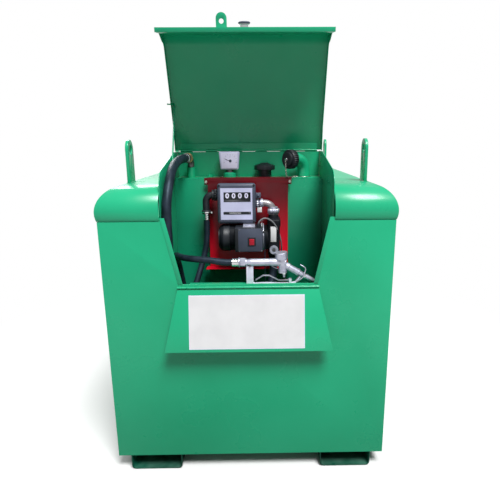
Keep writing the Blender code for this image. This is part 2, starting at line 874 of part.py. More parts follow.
def padlock_tab(name, width_middle, root, tip, low, high):
    """A flat tab with a rounded end and a padlock hole, pointing forward."""
    radius = TAB_WIDTH / 2
    outline = [(width_middle + radius, root)]
    outline += arc((width_middle, tip + radius), radius, 0, -180, 12)
    outline += [(width_middle - radius, root)]
    tab = prism(name, outline, "Z", low, high)
    hole = rod(
        f"{name}_hole",
        (width_middle, -PADLOCK_OUT, low - PLATE),
        (width_middle, -PADLOCK_OUT, high + PLATE),
        PADLOCK_HOLE,
        sides=32,
    )
    return cut(tab, hole)


def make_lid():
    """The lid, modelled closed and then turned up about its hinge."""
    outer = lid_outline()
    sheet = outer + [(-LID_FRONT - LID_LIP, LID_LOWER_Z)]
    lid = folded_sheet("lid_panel", sheet, "X", LID_X, -LID_X, LID_SHEET)
    edge = [point for point in outer if point[1] > LID_FLANGE_END_Z]
    skin = inner_line(edge, LID_SHEET / 2)
    inner = inner_line(edge, LID_FLANGE)
    end = (-LID_FRONT + LID_SHEET / 2, LID_FLANGE_END_Z)
    for side, sign in (("left", -1), ("right", 1)):
        edges = sorted((sign * LID_X, sign * (LID_X - FLAP_SHEET)))
        flange = prism(f"lid_{side}_flange", skin + [end] + inner[::-1], "X", *edges)
        join(lid, flange)
    root = -LID_FRONT - LID_SHEET / 2
    low = LID_LOWER_Z - TAB_THICK / 2
    tab = padlock_tab("lid_tab", TAB_X, root, -LID_FRONT - LID_TAB_REACH, low, low + TAB_THICK)
    join(lid, tab)
    pivot_z = lid_height(STAY_PIVOT_Y) - STAY_PIVOT_DROP
    hole = rod(
        "stay_hole",
        (-LID_X - PLATE, STAY_PIVOT_Y, pivot_z),
        (-LID_X + PLATE, STAY_PIVOT_Y, pivot_z),
        STAY_HOLE,
        sides=16,
    )
    cut(lid, hole)
    face = -LID_FRONT - GAP
    lock = turned(
        "lid_lock",
        [
            (0, 0),
            (LOCK_RADIUS, 0),
            (LOCK_RADIUS, 0.012),
            (LOCK_RADIUS * 0.85, 0.015),
            (LOCK_RADIUS * 0.7, 0.016),
            (LOCK_RADIUS * 0.7, 0.026),
            (LOCK_RADIUS * 0.55, 0.028),
            (0, 0.028),
        ],
        (LOCK_X, face, LID_LOWER_Z + LOCK_UP),
        (0, -1, 0),
        "bright_metal",
        24,
    )
    leaf = comb(
        "lid_hinge_leaf",
        (LID_HINGE_Y - LEAF_WIDTH, LID_HINGE_Z + BARREL - LEAF),
        (LID_HINGE_Y, LID_HINGE_Z + BARREL),
        LID_HINGE_Y,
        LID_HINGE_Z,
        LID_HINGE_HALF,
        LID_KNUCKLES,
        1,
        True,
    )
    comb(
        "lid_hinge_fixed_leaf",
        (LID_HINGE_Y + BARREL - LEAF, LID_HINGE_Z - LEAF_WIDTH),
        (LID_HINGE_Y + BARREL, LID_HINGE_Z),
        LID_HINGE_Y,
        LID_HINGE_Z,
        LID_HINGE_HALF,
        LID_KNUCKLES,
        0,
        False,
    )
    hang([lid, lock, leaf], 0, LID_HINGE_Y, LID_HINGE_Z, -LID_OPEN)


def lid_height(y):
    """Height of the closed lid's outer face on its slope."""
    return LID_BEND_Z - (LID_BEND_Y - y) * math.tan(LID_SLOPE)


def stay_pivot():
    """Where the stay's bent end passes through the flange with the lid up, as (y, z)."""
    across = STAY_PIVOT_Y - LID_HINGE_Y
    up = lid_height(STAY_PIVOT_Y) - STAY_PIVOT_DROP - LID_HINGE_Z
    cos, sin = math.cos(-LID_OPEN), math.sin(-LID_OPEN)
    return (
        LID_HINGE_Y + across * cos - up * sin,
        LID_HINGE_Z + across * sin + up * cos,
    )


def make_stay():
    """A bent rod that hangs in the lid's left flange and props it."""
    y, z = stay_pivot()
    bend = 3 * STAY_RADIUS
    down = Vector((0, -math.sin(STAY_LEAN), -math.cos(STAY_LEAN)))
    top = Vector((-STAY_X, y, z))
    points = [Vector((-LID_X - 0.02, y, z)), top + Vector((-bend, 0, 0))]
    for i in range(1, 5):
        turn = math.radians(90 * i / 4)
        points.append(top + Vector((-bend + bend * math.sin(turn), 0, 0)) + down * bend * (1 - math.cos(turn)))
    points.append(top + down * STAY_LENGTH)
    stay = tube("lid_stay", points, STAY_RADIUS, "green_paint", 2)
    pivot = bpy.data.objects.new("lid_stay_axis", None)
    PARTS.objects.link(pivot)
    pivot.location = at(0, y, z)
    stay.parent = pivot
    stay.matrix_parent_inverse = Matrix.Translation(-at(0, y, z))


def make_flap():
    """The drop-down flap, modelled shut and then let down on its long hinge."""
    low = FLAP_HINGE_Z + FLAP_BOTTOM
    high = FLAP_HINGE_Z + FLAP_LENGTH
    skin = -FLAP_HINGE_OUT - FLAP_CLEAR
    outline = [
        (-FLAP_BOTTOM_X, low),
        (FLAP_BOTTOM_X, low),
        (FLAP_TOP_X, high),
        (-FLAP_TOP_X, high),
    ]
    flap = prism("flap_panel", outline, "Y", skin - FLAP_SHEET, skin)
    start = low + FLAP_RETURN_START
    slant = (FLAP_TOP_X - FLAP_BOTTOM_X) / (high - low)
    edge = FLAP_BOTTOM_X + slant * FLAP_RETURN_START
    for side, sign in (("left", -1), ("right", 1)):
        rib = [
            (sign * (edge - FLAP_SHEET), start),
            (sign * edge, start),
            (sign * FLAP_TOP_X, high),
            (sign * (FLAP_TOP_X - FLAP_SHEET), high),
        ]
        join(flap, prism(f"flap_{side}_return", rib, "Y", skin - FLAP_RETURN, skin - FLAP_SHEET / 2))
    top_return = box(
        "flap_top_return",
        (-FLAP_TOP_X + FLAP_SHEET / 2, skin - FLAP_RETURN, high - FLAP_SHEET),
        (FLAP_TOP_X - FLAP_SHEET / 2, skin - FLAP_SHEET / 2, high),
    )
    tab_top = high - FLAP_SHEET + GAP
    tab = padlock_tab(
        "flap_tab",
        TAB_X,
        skin - FLAP_SHEET / 2,
        -FLAP_TAB_REACH,
        tab_top - TAB_THICK,
        tab_top,
    )
    join(flap, top_return, tab)
    leaf_back = skin - FLAP_SHEET - GAP
    leaf = comb(
        "flap_hinge_leaf",
        (leaf_back - LEAF, FLAP_HINGE_Z),
        (leaf_back, FLAP_HINGE_Z + LEAF_WIDTH * 0.8),
        -FLAP_HINGE_OUT,
        FLAP_HINGE_Z,
        FLAP_BOTTOM_X,
        FLAP_KNUCKLES,
        1,
        True,
    )
    comb(
        "flap_hinge_fixed_leaf",
        (-GAP - LEAF - PIN / 5, FLAP_HINGE_Z - LEAF_WIDTH),
        (-GAP, FLAP_HINGE_Z),
        -FLAP_HINGE_OUT,
        FLAP_HINGE_Z,
        FLAP_BOTTOM_X,
        FLAP_KNUCKLES,
        0,
        False,
    )
    hang([flap, leaf], 0, -FLAP_HINGE_OUT, FLAP_HINGE_Z, FLAP_TURN)


def make_suction_line():
    """The suction pipe's stub, its elbow and the hose that runs down to the pump."""
    rod(
        "suction_pipe",
        (SUCTION_X, FITTING_Y, SHELF_TOP + GAP),
        (SUCTION_X, FITTING_Y, SUCTION_PIPE_TOP),
        SUCTION_RADIUS,
    )
    way = Vector((math.cos(SUCTION_TURN), math.sin(SUCTION_TURN), 0))
    foot = Vector((SUCTION_X, FITTING_Y, SUCTION_PIPE_TOP + GAP))
    bend = 0.03
    points = [foot]
    for i in range(7):
        turn = math.radians(15 * i)
        rise = SUCTION_AXIS_Z - bend + bend * math.sin(turn)
        out = way * bend * (1 - math.cos(turn))
        points.append(Vector((SUCTION_X, FITTING_Y, rise)) + out)
    base = Vector((SUCTION_X, FITTING_Y, SUCTION_AXIS_Z))
    points.append(base + way * SUCTION_TAIL)
    elbow = as_mesh(tube("suction_elbow", points, SUCTION_RADIUS * 0.82, "dark_metal"))
    tail = rod(
        "suction_tail",
        base + way * (SUCTION_TAIL - 0.022),
        base + way * (SUCTION_TAIL - 0.001),
        HOSE_RADIUS_SUCTION * 1.12,
    )
    join(elbow, tail)
    start = base + way * (SUCTION_TAIL + GAP)
    below = HEAD_BOTTOM_Z - GAP
    route = [start, start + way * HOSE_RADIUS_SUCTION]
    route += fitted(SUCTION_ROUTE)
    route += [(INLET_X, MOTOR_Y, below - HOSE_RADIUS_SUCTION), (INLET_X, MOTOR_Y, below)]
    tube("suction_hose", smooth_route(route, 40), HOSE_RADIUS_SUCTION, "black_rubber")


def make_shelf_fittings():
    """Level gauge, vent and filler on the shelf."""
    half = GAUGE_WIDTH / 2
    narrow = half * 0.86
    head = [
        (GAUGE_X - narrow, GAUGE_BOTTOM),
        (GAUGE_X + narrow, GAUGE_BOTTOM),
        (GAUGE_X + half, GAUGE_TOP),
        (GAUGE_X - half, GAUGE_TOP),
    ]
    front = FITTING_Y - GAUGE_DEPTH / 2
    gauge = prism("level_gauge", head, "Y", front, front + GAUGE_DEPTH, "white_plastic")
    soften(gauge, 0.007, 3)
    foot = (GAUGE_X, FITTING_Y, SHELF_TOP + GAP)
    socket = turned(
        "gauge_socket",
        [
            (0, 0),
            (0.0305, 0),
            (0.0305, 0.02),
            (0.024, 0.023),
            (0.019, 0.024),
            (0.017, GAUGE_BOTTOM - SHELF_TOP + 0.003),
            (0, GAUGE_BOTTOM - SHELF_TOP + 0.003),
        ],
        foot,
        (0, 0, 1),
        "green_paint",
        24,
    )
    join(gauge, socket)
    height = VENT_TOP - SHELF_TOP
    under = height - VENT_PEAK - VENT_BRIM
    foot = (VENT_X, FITTING_Y, SHELF_TOP + GAP)
    neck = [(0, 0), (VENT_NECK, 0), (VENT_NECK, under + 0.006), (0, under + 0.006)]
    vent = turned("vent_cap", neck, foot, (0, 0, 1), "black_casting", 28)
    brim = [
        (0, under),
        (VENT_RADIUS - 0.003, under),
        (VENT_RADIUS, under + 0.003),
        (VENT_RADIUS, height - VENT_PEAK),
        (VENT_RADIUS * 0.25, height),
        (0, height),
    ]
    join(vent, turned("vent_brim", brim, foot, (0, 0, 1), "black_casting", 8))
    way = Vector((math.cos(FILL_TURN), math.sin(FILL_TURN), 0))
    base = Vector((FILL_X, FITTING_Y, FILL_AXIS_Z))
    points = [Vector((FILL_X, FITTING_Y, SHELF_TOP + GAP))]
    for i in range(9):
        turn = math.radians(90 * i / 8)
        rise = Vector((0, 0, FILL_BEND * (math.sin(turn) - 1)))
        points.append(base + rise + way * FILL_BEND * (1 - math.cos(turn)))
    neck = FILL_BEND + 0.03
    points.append(base + way * neck)
    tube("fill_pipe", points, FILL_RADIUS, "green_paint", 5)
    ridge = []
    for i in range(CAP_RIDGES * 4):
        angle = 2 * math.pi * i / (CAP_RIDGES * 4)
        reach = CAP_RADIUS if i % 4 < 2 else CAP_RADIUS * 0.94
        ridge.append((reach * math.cos(angle), reach * math.sin(angle)))
    cap = flat_gear("fill_cap", ridge, 0.022, base + way * (neck + GAP), way)
    dome = turned(
        "fill_cap_dome",
        [(0, 0), (0.03, 0), (0.03, 0.008), (0.026, 0.011), (0, 0.012)],
        base + way * (neck + 0.02),
        way,
        "black_casting",
        28,
    )
    join(cap, dome)


def flat_gear(name, outline, thickness, foot, direction):
    """An outline raised by its thickness along a direction."""
    bm = bmesh.new()
    face = bm.faces.new([bm.verts.new((u, v, 0)) for u, v in outline])
    carried = bmesh.ops.extrude_face_region(bm, geom=[face])["geom"]
    moved = [part for part in carried if isinstance(part, bmesh.types.BMVert)]
    bmesh.ops.translate(bm, vec=(0, 0, thickness), verts=moved)
    turn = Vector(direction).to_track_quat("Z", "Y").to_matrix().to_4x4()
    bmesh.ops.transform(bm, matrix=Matrix.Translation(at(*foot)) @ turn, verts=bm.verts)
    return object_from(bm, name, "black_casting")


def make_bracket():
    """The folded plate that hooks over the shelf and carries meter and pump."""
    left, right = BRACKET_X - BRACKET_HALF, BRACKET_X + BRACKET_HALF
    top = SHELF_TOP + GAP + SHEET
    profile = [
        (CABINET_DEPTH + BRACKET_TOP_REACH, top),
        (BRACKET_Y, top),
        (BRACKET_Y, BRACKET_BOTTOM),
        (BRACKET_Y - BRACKET_LIP, BRACKET_BOTTOM),
    ]
    bracket = folded_sheet("pump_bracket", profile, "X", right, left, SHEET, "red_paint")
    lip = box(
        "bracket_lip",
        (left - BRACKET_EAR, BRACKET_Y - BRACKET_LIP, BRACKET_BOTTOM - SHEET),
        (right + BRACKET_EAR, BRACKET_Y, BRACKET_BOTTOM),
        "red_paint",
    )
    join(bracket, lip)
    for side, edge in (("left", left), ("right", right)):
        low, high = sorted((edge, edge + SHEET * (1 if edge < 0 else -1)))
        fold = box(
            f"bracket_{side}_fold",
            (low, BRACKET_Y + SHEET / 2, BRACKET_BOTTOM + BRACKET_EAR),
            (high, CABINET_DEPTH - GAP, SHELF_TOP - 0.02),
            "red_paint",
        )
        join(bracket, fold)
        outer = edge + BRACKET_EAR * (-1 if edge < 0 else 1)
        low, high = sorted((edge - SHEET * (-1 if edge < 0 else 1), outer))
        ear = box(
            f"bracket_{side}_ear",
            (low, BRACKET_Y, top - 0.032),
            (high, BRACKET_Y + SHEET, top),
            "red_paint",
        )
        join(bracket, ear)
        middle = (edge + outer) / 2
        hole = rod(
            f"bracket_{side}_hole",
            (middle, BRACKET_Y - SHEET, top - 0.018),
            (middle, BRACKET_Y + 2 * SHEET, top - 0.018),
            0.004,
            sides=12,
        )
        cut(bracket, hole)


def make_meter():
    """The flow meter, its face and the elbows at its two ports."""
    low = (METER_X - METER_WIDTH / 2, METER_FRONT, METER_Z - METER_HEIGHT / 2)
    high = (METER_X + METER_WIDTH / 2, METER_FRONT + METER_FRAME, METER_Z + METER_HEIGHT / 2)
    meter = soften(box("flow_meter", low, high, "slate_casting"), 0.012, 3)
    back = BRACKET_Y - GAP
    chamber = rod(
        "meter_chamber",
        (METER_X, METER_FRONT + METER_FRAME - 0.002, METER_Z),
        (METER_X, back, METER_Z),
        METER_CHAMBER,
        sides=32,
    )
    left, right = low[0] - PORT_REACH, high[0] + PORT_REACH
    outlet = rod("meter_outlet", (left, PORT_Y, OUTLET_Z), (METER_X, PORT_Y, OUTLET_Z), PORT_RADIUS)
    inlet = rod("meter_inlet", (METER_X, PORT_Y, INLET_Z), (right, PORT_Y, INLET_Z), PORT_RADIUS)
    half = FACE_SIZE / 2
    recess = box(
        "meter_recess",
        (METER_X - half, METER_FRONT - PLATE, METER_Z - half),
        (METER_X + half, METER_FRONT + FACE_DEPTH, METER_Z + half),
    )
    join(meter, chamber, outlet, inlet)
    cut(meter, recess)
    inner = half - GAP
    box(
        "meter_face",
        (METER_X - inner, METER_FRONT + GAP, METER_Z - inner),
        (METER_X + inner, METER_FRONT + FACE_DEPTH - GAP, METER_Z + inner),
        "pale_panel",
    )
    down = OUTLET_Z - HOSE_START_Z - GAP
    bent_pipe("outlet_elbow", left - GAP, OUTLET_X, OUTLET_Z, down, "black_casting")
    join(
        bpy.data.objects["outlet_elbow"],
        rod(
            "hose_ferrule",
            (OUTLET_X, PORT_Y, HOSE_START_Z + GAP),
            (OUTLET_X, PORT_Y, HOSE_START_Z + 0.027),
            HOSE_RADIUS + 0.0018,
        ),
    )
    down = INLET_Z - HEAD_TOP_Z - GAP
    bent_pipe("inlet_elbow", right + GAP, INLET_X, INLET_Z, down, "bright_metal")
    nut = rod(
        "union_nut",
        (INLET_X, PORT_Y, HEAD_TOP_Z + GAP),
        (INLET_X, PORT_Y, HEAD_TOP_Z + 0.026),
        0.026,
        sides=6,
    )
    join(bpy.data.objects["inlet_elbow"], nut)


def bent_pipe(name, start_x, end_x, axis_z, down, material):
    """A pipe that leaves a port sideways and turns straight down."""
    sign = 1 if end_x > start_x else -1
    bend = min(abs(end_x - start_x), down) * 0.75
    points = [(start_x, PORT_Y, axis_z)]
    for i in range(7):
        turn = math.radians(15 * i)
        x = end_x - sign * bend * (1 - math.sin(turn))
        points.append((x, PORT_Y, axis_z - bend * (1 - math.cos(turn))))
    points.append((end_x, PORT_Y, axis_z - down))
    return as_mesh(tube(name, points, ELBOW_RADIUS, material))


def make_pump():
    """Motor, pump head, terminal box and its switch."""
    length = MOTOR_RIGHT - MOTOR_LEFT
    radius = MOTOR_RADIUS
    motor = turned(
        "pump_motor",
        [
            (0, 0),
            (radius * 0.7, 0),
            (radius * 0.93, 0.006),
            (radius, 0.016),
            (radius, 0.05),
            (radius * 0.97, 0.052),
            (radius * 0.97, length - 0.022),
            (radius * 1.03, length - 0.02),
            (radius * 1.03, length),
            (0, length),
        ],
        (MOTOR_LEFT, MOTOR_Y, MOTOR_Z),
        (1, 0, 0),
        "black_casting",
        36,
    )
    foot = box(
        "motor_foot",
        (MOTOR_LEFT + 0.05, MOTOR_Y + radius * 0.5, MOTOR_Z - 0.04),
        (MOTOR_RIGHT - 0.04, BRACKET_Y - GAP, MOTOR_Z + 0.04),
    )
    join(motor, foot)
    head_left = MOTOR_RIGHT + GAP
    depth = HEAD_RIGHT - head_left
    head = turned(
        "pump_head",
        [
            (0, 0),
            (HEAD_RADIUS, 0),
            (HEAD_RADIUS, depth * 0.7),
            (HEAD_RADIUS * 0.9, depth * 0.85),
            (HEAD_RADIUS * 0.62, depth * 0.92),
            (HEAD_RADIUS * 0.6, depth),
            (0, depth),
        ],
        (head_left, MOTOR_Y, MOTOR_Z),
        (1, 0, 0),
        "black_casting",
        32,
    )
    top_port = rod("head_top_port", (INLET_X, PORT_Y, MOTOR_Z), (INLET_X, PORT_Y, HEAD_TOP_Z), 0.024)
    low_port = rod(
        "head_low_port",
        (INLET_X, MOTOR_Y, HEAD_BOTTOM_Z),
        (INLET_X, MOTOR_Y, MOTOR_Z),
        0.024,
    )
    middle = (INLET_X, MOTOR_Y - HEAD_RADIUS * 1.12, MOTOR_Z - 0.036)
    plug = rod("head_plug", middle, (INLET_X, MOTOR_Y, MOTOR_Z - 0.036), 0.019)
    join(head, top_port, low_port, plug)
    housing = box(
        "terminal_box",
        (BOX_LEFT, BOX_FRONT, BOX_BOTTOM),
        (BOX_RIGHT, BOX_BACK, BOX_TOP),
        "slate_casting",
    )
    soften(housing, 0.005, 2)
    saddle = rod(
        "box_saddle",
        (BOX_LEFT - PLATE, MOTOR_Y, MOTOR_Z),
        (BOX_RIGHT + PLATE, MOTOR_Y, MOTOR_Z),
        MOTOR_RADIUS * 1.03 + GAP,
        sides=36,
    )
    cut(housing, saddle)
    half_x, half_z = SWITCH_WIDTH / 2, SWITCH_HEIGHT / 2
    bezel = box(
        "switch_bezel",
        (SWITCH_X - half_x - 0.005, BOX_FRONT - 0.003, SWITCH_Z - half_z - 0.004),
        (SWITCH_X + half_x + 0.005, BOX_FRONT + 0.002, SWITCH_Z + half_z + 0.004),
    )
    pocket = box(
        "switch_pocket",
        (SWITCH_X - half_x - 0.0006, BOX_FRONT - PLATE * 2, SWITCH_Z - half_z - 0.0006),
        (SWITCH_X + half_x + 0.0006, BOX_FRONT + 0.009, SWITCH_Z + half_z + 0.0006),
    )
    join(housing, bezel)
    cut(housing, pocket)
    axis_y = BOX_FRONT + 0.002
    rocker = [
        (axis_y + 0.0045, SWITCH_Z - half_z * 0.5),
        (axis_y + 0.0045, SWITCH_Z + half_z * 0.5),
        (axis_y - 0.001, SWITCH_Z + half_z * 0.94),
        (axis_y - 0.0065, SWITCH_Z + half_z * 0.94),
        (axis_y - 0.0045, SWITCH_Z),
        (axis_y - 0.0065, SWITCH_Z - half_z * 0.94),
        (axis_y - 0.001, SWITCH_Z - half_z * 0.94),
    ]
    button = prism(
        "pump_switch",
        rocker,
        "X",
        SWITCH_X - half_x,
        SWITCH_X + half_x,
        "red_plastic",
    )
    hang([button], 0, axis_y, SWITCH_Z, SWITCH_TILT)


def make_leads():
    """The motor's cable and the thin supply lead."""
    entry = (CABLE_X, BOX_FRONT + CABLE_INSET, BOX_TOP + GAP)
    wall = (CABLE_END_X, BRACKET_Y - GAP, MOTOR_Z - CABLE_DROP)
    cable = [entry, (*entry[:2], entry[2] + CABLE_STRAIGHT)]
    cable += beside_pump(CABLE_ROUTE)
    cable += [(wall[0], wall[1] - CABLE_STRAIGHT, wall[2]), wall]
    tube("motor_cable", smooth_route(cable, 34), CABLE_RADIUS, "grey_cable", 2)
    side = (BOX_RIGHT + GAP, BOX_FRONT + LEAD_INSET, BOX_TOP - LEAD_DROP)
    foot = (LEAD_END_X, LEAD_END_Y * CABINET_DEPTH / ROUTE_DEPTH, COIL_FLOOR)
    lead = [side, (side[0] + LEAD_RADIUS, *side[1:])]
    lead += beside_pump(LEAD_ROUTE) + fitted(LEAD_FALL)
    lead += [(*foot[:2], COIL_FLOOR + 0.02), foot]
    tube("supply_lead", smooth_route(lead, 26), LEAD_RADIUS, "black_rubber", 2)


def make_delivery_hose():
    """The hose from the meter down to its coil, and from the coil up to the nozzle."""
    lie = COIL_TOP + HOSE_RADIUS + GAP
    first = [(OUTLET_X, PORT_Y, HOSE_START_Z), (OUTLET_X, PORT_Y, HOSE_START_Z - 0.012)]
    beside = coil_point(243, COIL_FLOOR + HOSE_RADIUS, COIL_RADIUS + 2 * HOSE_RADIUS + 4 * GAP)
    drop = first + fitted(DROP_ROUTE) + [beside]
    tube("delivery_hose_drop", smooth_route(drop, 12), HOSE_RADIUS, "black_rubber")
    last = [
        (NOZZLE_TAIL_X - 0.012, NOZZLE_Y, HANDLE_Z),
        (NOZZLE_TAIL_X - GAP, NOZZLE_Y, HANDLE_Z),
    ]
    back = [coil_point(78, lie), coil_point(94, lie)] + fitted(RETURN_ROUTE) + last
    tube("delivery_hose_return", smooth_route(back, 18), HOSE_RADIUS, "black_rubber")
    outer, inner = [], []
    for turn in range(COIL_TURNS):
        middle = (COIL_RADIUS, HOSE_RADIUS * (2 * turn + 1))
        low = -90 if turn == 0 else -60
        high = 90 if turn == COIL_TURNS - 1 else 60
        outer += arc(middle, HOSE_RADIUS, low, high, 5)
        inner += arc(middle, HOSE_RADIUS, 180 - low, 180 - high, 5)
    ring("hose_coil", outer + inner[-2:0:-1], (COIL_X, COIL_Y, COIL_FLOOR), "black_rubber")


def coil_point(angle, z, radius=COIL_RADIUS):
    turn = math.radians(angle)
    return (COIL_X + radius * math.cos(turn), COIL_Y + radius * math.sin(turn), z)


def ring(name, profile, foot, material, steps=32):
    """A closed profile of (radius, height) points spun about a vertical axis."""
    bm = bmesh.new()
    loop = [bm.verts.new((radius, 0, height)) for radius, height in profile]
    edges = [bm.edges.new((loop[i - 1], loop[i])) for i in range(len(loop))]
    bmesh.ops.spin(
        bm,
        geom=loop + edges,
        cent=(0, 0, 0),
        axis=(0, 0, 1),
        angle=2 * math.pi,
        steps=steps,
        use_merge=True,
    )
    bmesh.ops.remove_doubles(bm, verts=bm.verts, dist=0.00001)
    bmesh.ops.translate(bm, vec=at(*foot), verts=bm.verts)
    return object_from(bm, name, material)


def make_nozzle():
    """The dispensing nozzle that stands on the sill inside the front plate."""
    tail = NOZZLE_TAIL_X
    body = turned(
        "nozzle_body",
        [
            (0, 0),
            (0.0165, 0),
            (0.0165, 0.024),
            (0.012, 0.026),
            (0.012, 0.034),
            (0.0155, 0.036),
            (0.0155, 0.056),
            (0.013, 0.06),
            (HANDLE_RADIUS, 0.075),
            (HANDLE_RADIUS, 0.15),
            (HANDLE_RADIUS * 1.15, VALVE_X - tail - 0.02),
            (HANDLE_RADIUS * 1.15, VALVE_X - tail + 0.012),
            (0, VALVE_X - tail + 0.016),
        ],
        (tail, NOZZLE_Y, HANDLE_Z),
        (1, 0, 0),
        "bright_metal",
        28,
    )
    valve = rod(
        "nozzle_valve",
        (VALVE_X - 0.002, NOZZLE_Y, HANDLE_Z - 0.045),
        (VALVE_X - 0.002, NOZZLE_Y, HANDLE_Z + 0.018),
        0.018,
        sides=28,
    )
    cap = rod(
        "nozzle_cap",
        (VALVE_X - 0.006, NOZZLE_Y, HANDLE_Z + 0.014),
        (VALVE_X - 0.009, NOZZLE_Y, HANDLE_Z + 0.042),
        0.0255,
        sides=32,
    )
    stem = rod(
        "nozzle_stem",
        (VALVE_X + 0.004, NOZZLE_Y, HANDLE_Z - 0.066),
        (VALVE_X + 0.004, NOZZLE_Y, HANDLE_Z - 0.03),
        0.005,
        sides=12,
    )
    join(body, valve, cap, stem)
    start = Vector((VALVE_X + 0.0228, NOZZLE_Y, SILL_Z + 0.072))
    end = Vector((SPOUT_END_X, NOZZLE_Y, SILL_Z + 0.0105))
    along = (end - start).normalized()
    neck = rod("nozzle_neck", start - along * 0.03, start - along * GAP, SPOUT_RADIUS + 0.002)
    join(body, neck)
    rod("nozzle_spout", start, end, SPOUT_RADIUS, "bright_metal", 24, SPOUT_TIP_RADIUS)
    low = SILL_Z + GAP
    width = GUARD_WIDTH / 2
    loop = [(GUARD_LEFT - GUARD_POST, HANDLE_Z - HANDLE_RADIUS - GAP), (GUARD_LEFT - GUARD_POST, low)]
    loop += [(0.186, low), (0.2, low + 0.004), (0.219, SILL_Z + 0.0295)]
    hollow = [(0.2145, SILL_Z + 0.032), (0.197, low + 0.0075), (0.185, low + GUARD_THICK)]
    hollow += [(GUARD_LEFT + GUARD_POST, low + GUARD_THICK)]
    hollow += [(GUARD_LEFT + GUARD_POST, HANDLE_Z - HANDLE_RADIUS - GAP)]
    sides = (NOZZLE_Y - width, NOZZLE_Y + width)
    guard = prism("nozzle_guard", loop + hollow, "Y", *sides, "bright_metal")
    lever = (NOZZLE_Y - width + LUG_THICK + GAP, NOZZLE_Y + width - LUG_THICK - GAP)
    x, z = TRIGGER_PIVOT_X, TRIGGER_PIVOT_Z
    for side, lug_low, lug_high in (
        ("front", sides[0], sides[0] + LUG_THICK),
        ("rear", sides[1] - LUG_THICK, sides[1]),
    ):
        lows = (x - 0.0055, lug_low, low + GUARD_THICK / 2)
        join(guard, box(f"guard_{side}_lug", lows, (x + 0.0055, lug_high, z + 0.005)))
    join(guard, rod("trigger_pin", (x, sides[0], z), (x, sides[1], z), 0.002, sides=12))
    thick = 0.003
    upper = [
        (x + 0.003, z + thick / 2),
        (0.128, SILL_Z + 0.0165),
        (0.088, SILL_Z + 0.038),
        (0.062, SILL_Z + 0.0385),
        (0.03, SILL_Z + 0.0185),
    ]
    under = [(u, v - thick) for u, v in reversed(upper)]
    trigger = prism("nozzle_trigger", upper + under, "Y", *lever, "dark_metal")
    join(trigger, rod("trigger_boss", (x, lever[0], z), (x, lever[1], z), 0.0045, sides=16))
    cut(trigger, rod("trigger_bore", (x, sides[0], z), (x, sides[1], z), 0.0023, sides=12))
    pivot = bpy.data.objects.new("nozzle_trigger_axis", None)
    PARTS.objects.link(pivot)
    place = at(TRIGGER_PIVOT_X, NOZZLE_Y, TRIGGER_PIVOT_Z)
    pivot.location = place
    trigger.parent = pivot
    trigger.matrix_parent_inverse = Matrix.Translation(-place)


def shade_all():
    for obj in PARTS.objects:
        if obj.type == "MESH":
            obj.data.shade_smooth()
            obj.data.set_sharp_from_angle(angle=math.radians(35))


clear_scene()
PARTS = new_collection("bunded_diesel_tank")
CUTTERS = new_collection("cutters")
make_bund()
make_top_cover()
make_feet()
make_lifting_eyes()
make_cabinet()
make_inner_tank()
make_lid()
make_stay()
make_flap()
make_suction_line()
make_shelf_fittings()
make_bracket()
make_meter()
make_pump()
make_leads()
make_delivery_hose()
make_nozzle()
shade_all()
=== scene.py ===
"""Bunded diesel tank with a pump cabinet, dressed for a studio view.

Sizes are in metres. Places are written as in the tank's own drawing: x from its
middle, y back from the front plate, z up from its underside. at() turns them
into the frame that the tank stands in.
"""

import json
import math

import bmesh
import bpy
from mathutils import Matrix, Vector

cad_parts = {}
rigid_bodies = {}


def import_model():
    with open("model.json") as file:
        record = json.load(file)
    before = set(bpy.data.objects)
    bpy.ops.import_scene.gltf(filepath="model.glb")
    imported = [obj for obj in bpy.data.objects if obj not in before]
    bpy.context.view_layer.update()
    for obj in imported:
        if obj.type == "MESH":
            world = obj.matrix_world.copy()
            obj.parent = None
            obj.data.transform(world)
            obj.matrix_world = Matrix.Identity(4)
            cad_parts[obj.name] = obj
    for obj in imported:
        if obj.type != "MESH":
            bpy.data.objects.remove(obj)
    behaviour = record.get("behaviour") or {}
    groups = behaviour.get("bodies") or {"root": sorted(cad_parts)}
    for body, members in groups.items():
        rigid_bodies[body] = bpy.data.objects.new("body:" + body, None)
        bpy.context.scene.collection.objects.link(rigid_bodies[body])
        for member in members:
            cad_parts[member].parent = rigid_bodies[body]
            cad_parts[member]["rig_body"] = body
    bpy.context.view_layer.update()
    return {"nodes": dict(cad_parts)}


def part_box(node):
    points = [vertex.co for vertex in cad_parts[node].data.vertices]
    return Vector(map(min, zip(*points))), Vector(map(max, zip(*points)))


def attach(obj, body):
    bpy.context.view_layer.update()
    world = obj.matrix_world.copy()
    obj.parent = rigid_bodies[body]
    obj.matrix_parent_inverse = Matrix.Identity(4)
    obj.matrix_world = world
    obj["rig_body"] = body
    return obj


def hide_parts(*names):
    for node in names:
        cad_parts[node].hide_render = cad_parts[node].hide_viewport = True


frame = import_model()
SLOT_OF = {name: solid.data.materials[0].name for name, solid in frame["nodes"].items()}

TANK_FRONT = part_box("bund_front_wall")[0].y
TANK_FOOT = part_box("bund_floor")[0].z
GAP = 0.0003

FORWARD = (0, -1, 0)
UP = (0, 0, 1)
DOWN = (0, 0, -1)
RIGHT = (1, 0, 0)
LEFT = (-1, 0, 0)

# The photograph's camera, fitted to the tank's corners
PHOTO_WIDTH = 500
FOCAL_PIXELS = 447.78
CENTRE_PIXEL = 265.67
SENSOR = 36.0
CAMERA_PLACE = (0.0468, -1.7682, 1.387)
CAMERA_YAW = 0.0147
CAMERA_PITCH = 0.2391
CAMERA_ROLL = -0.0066

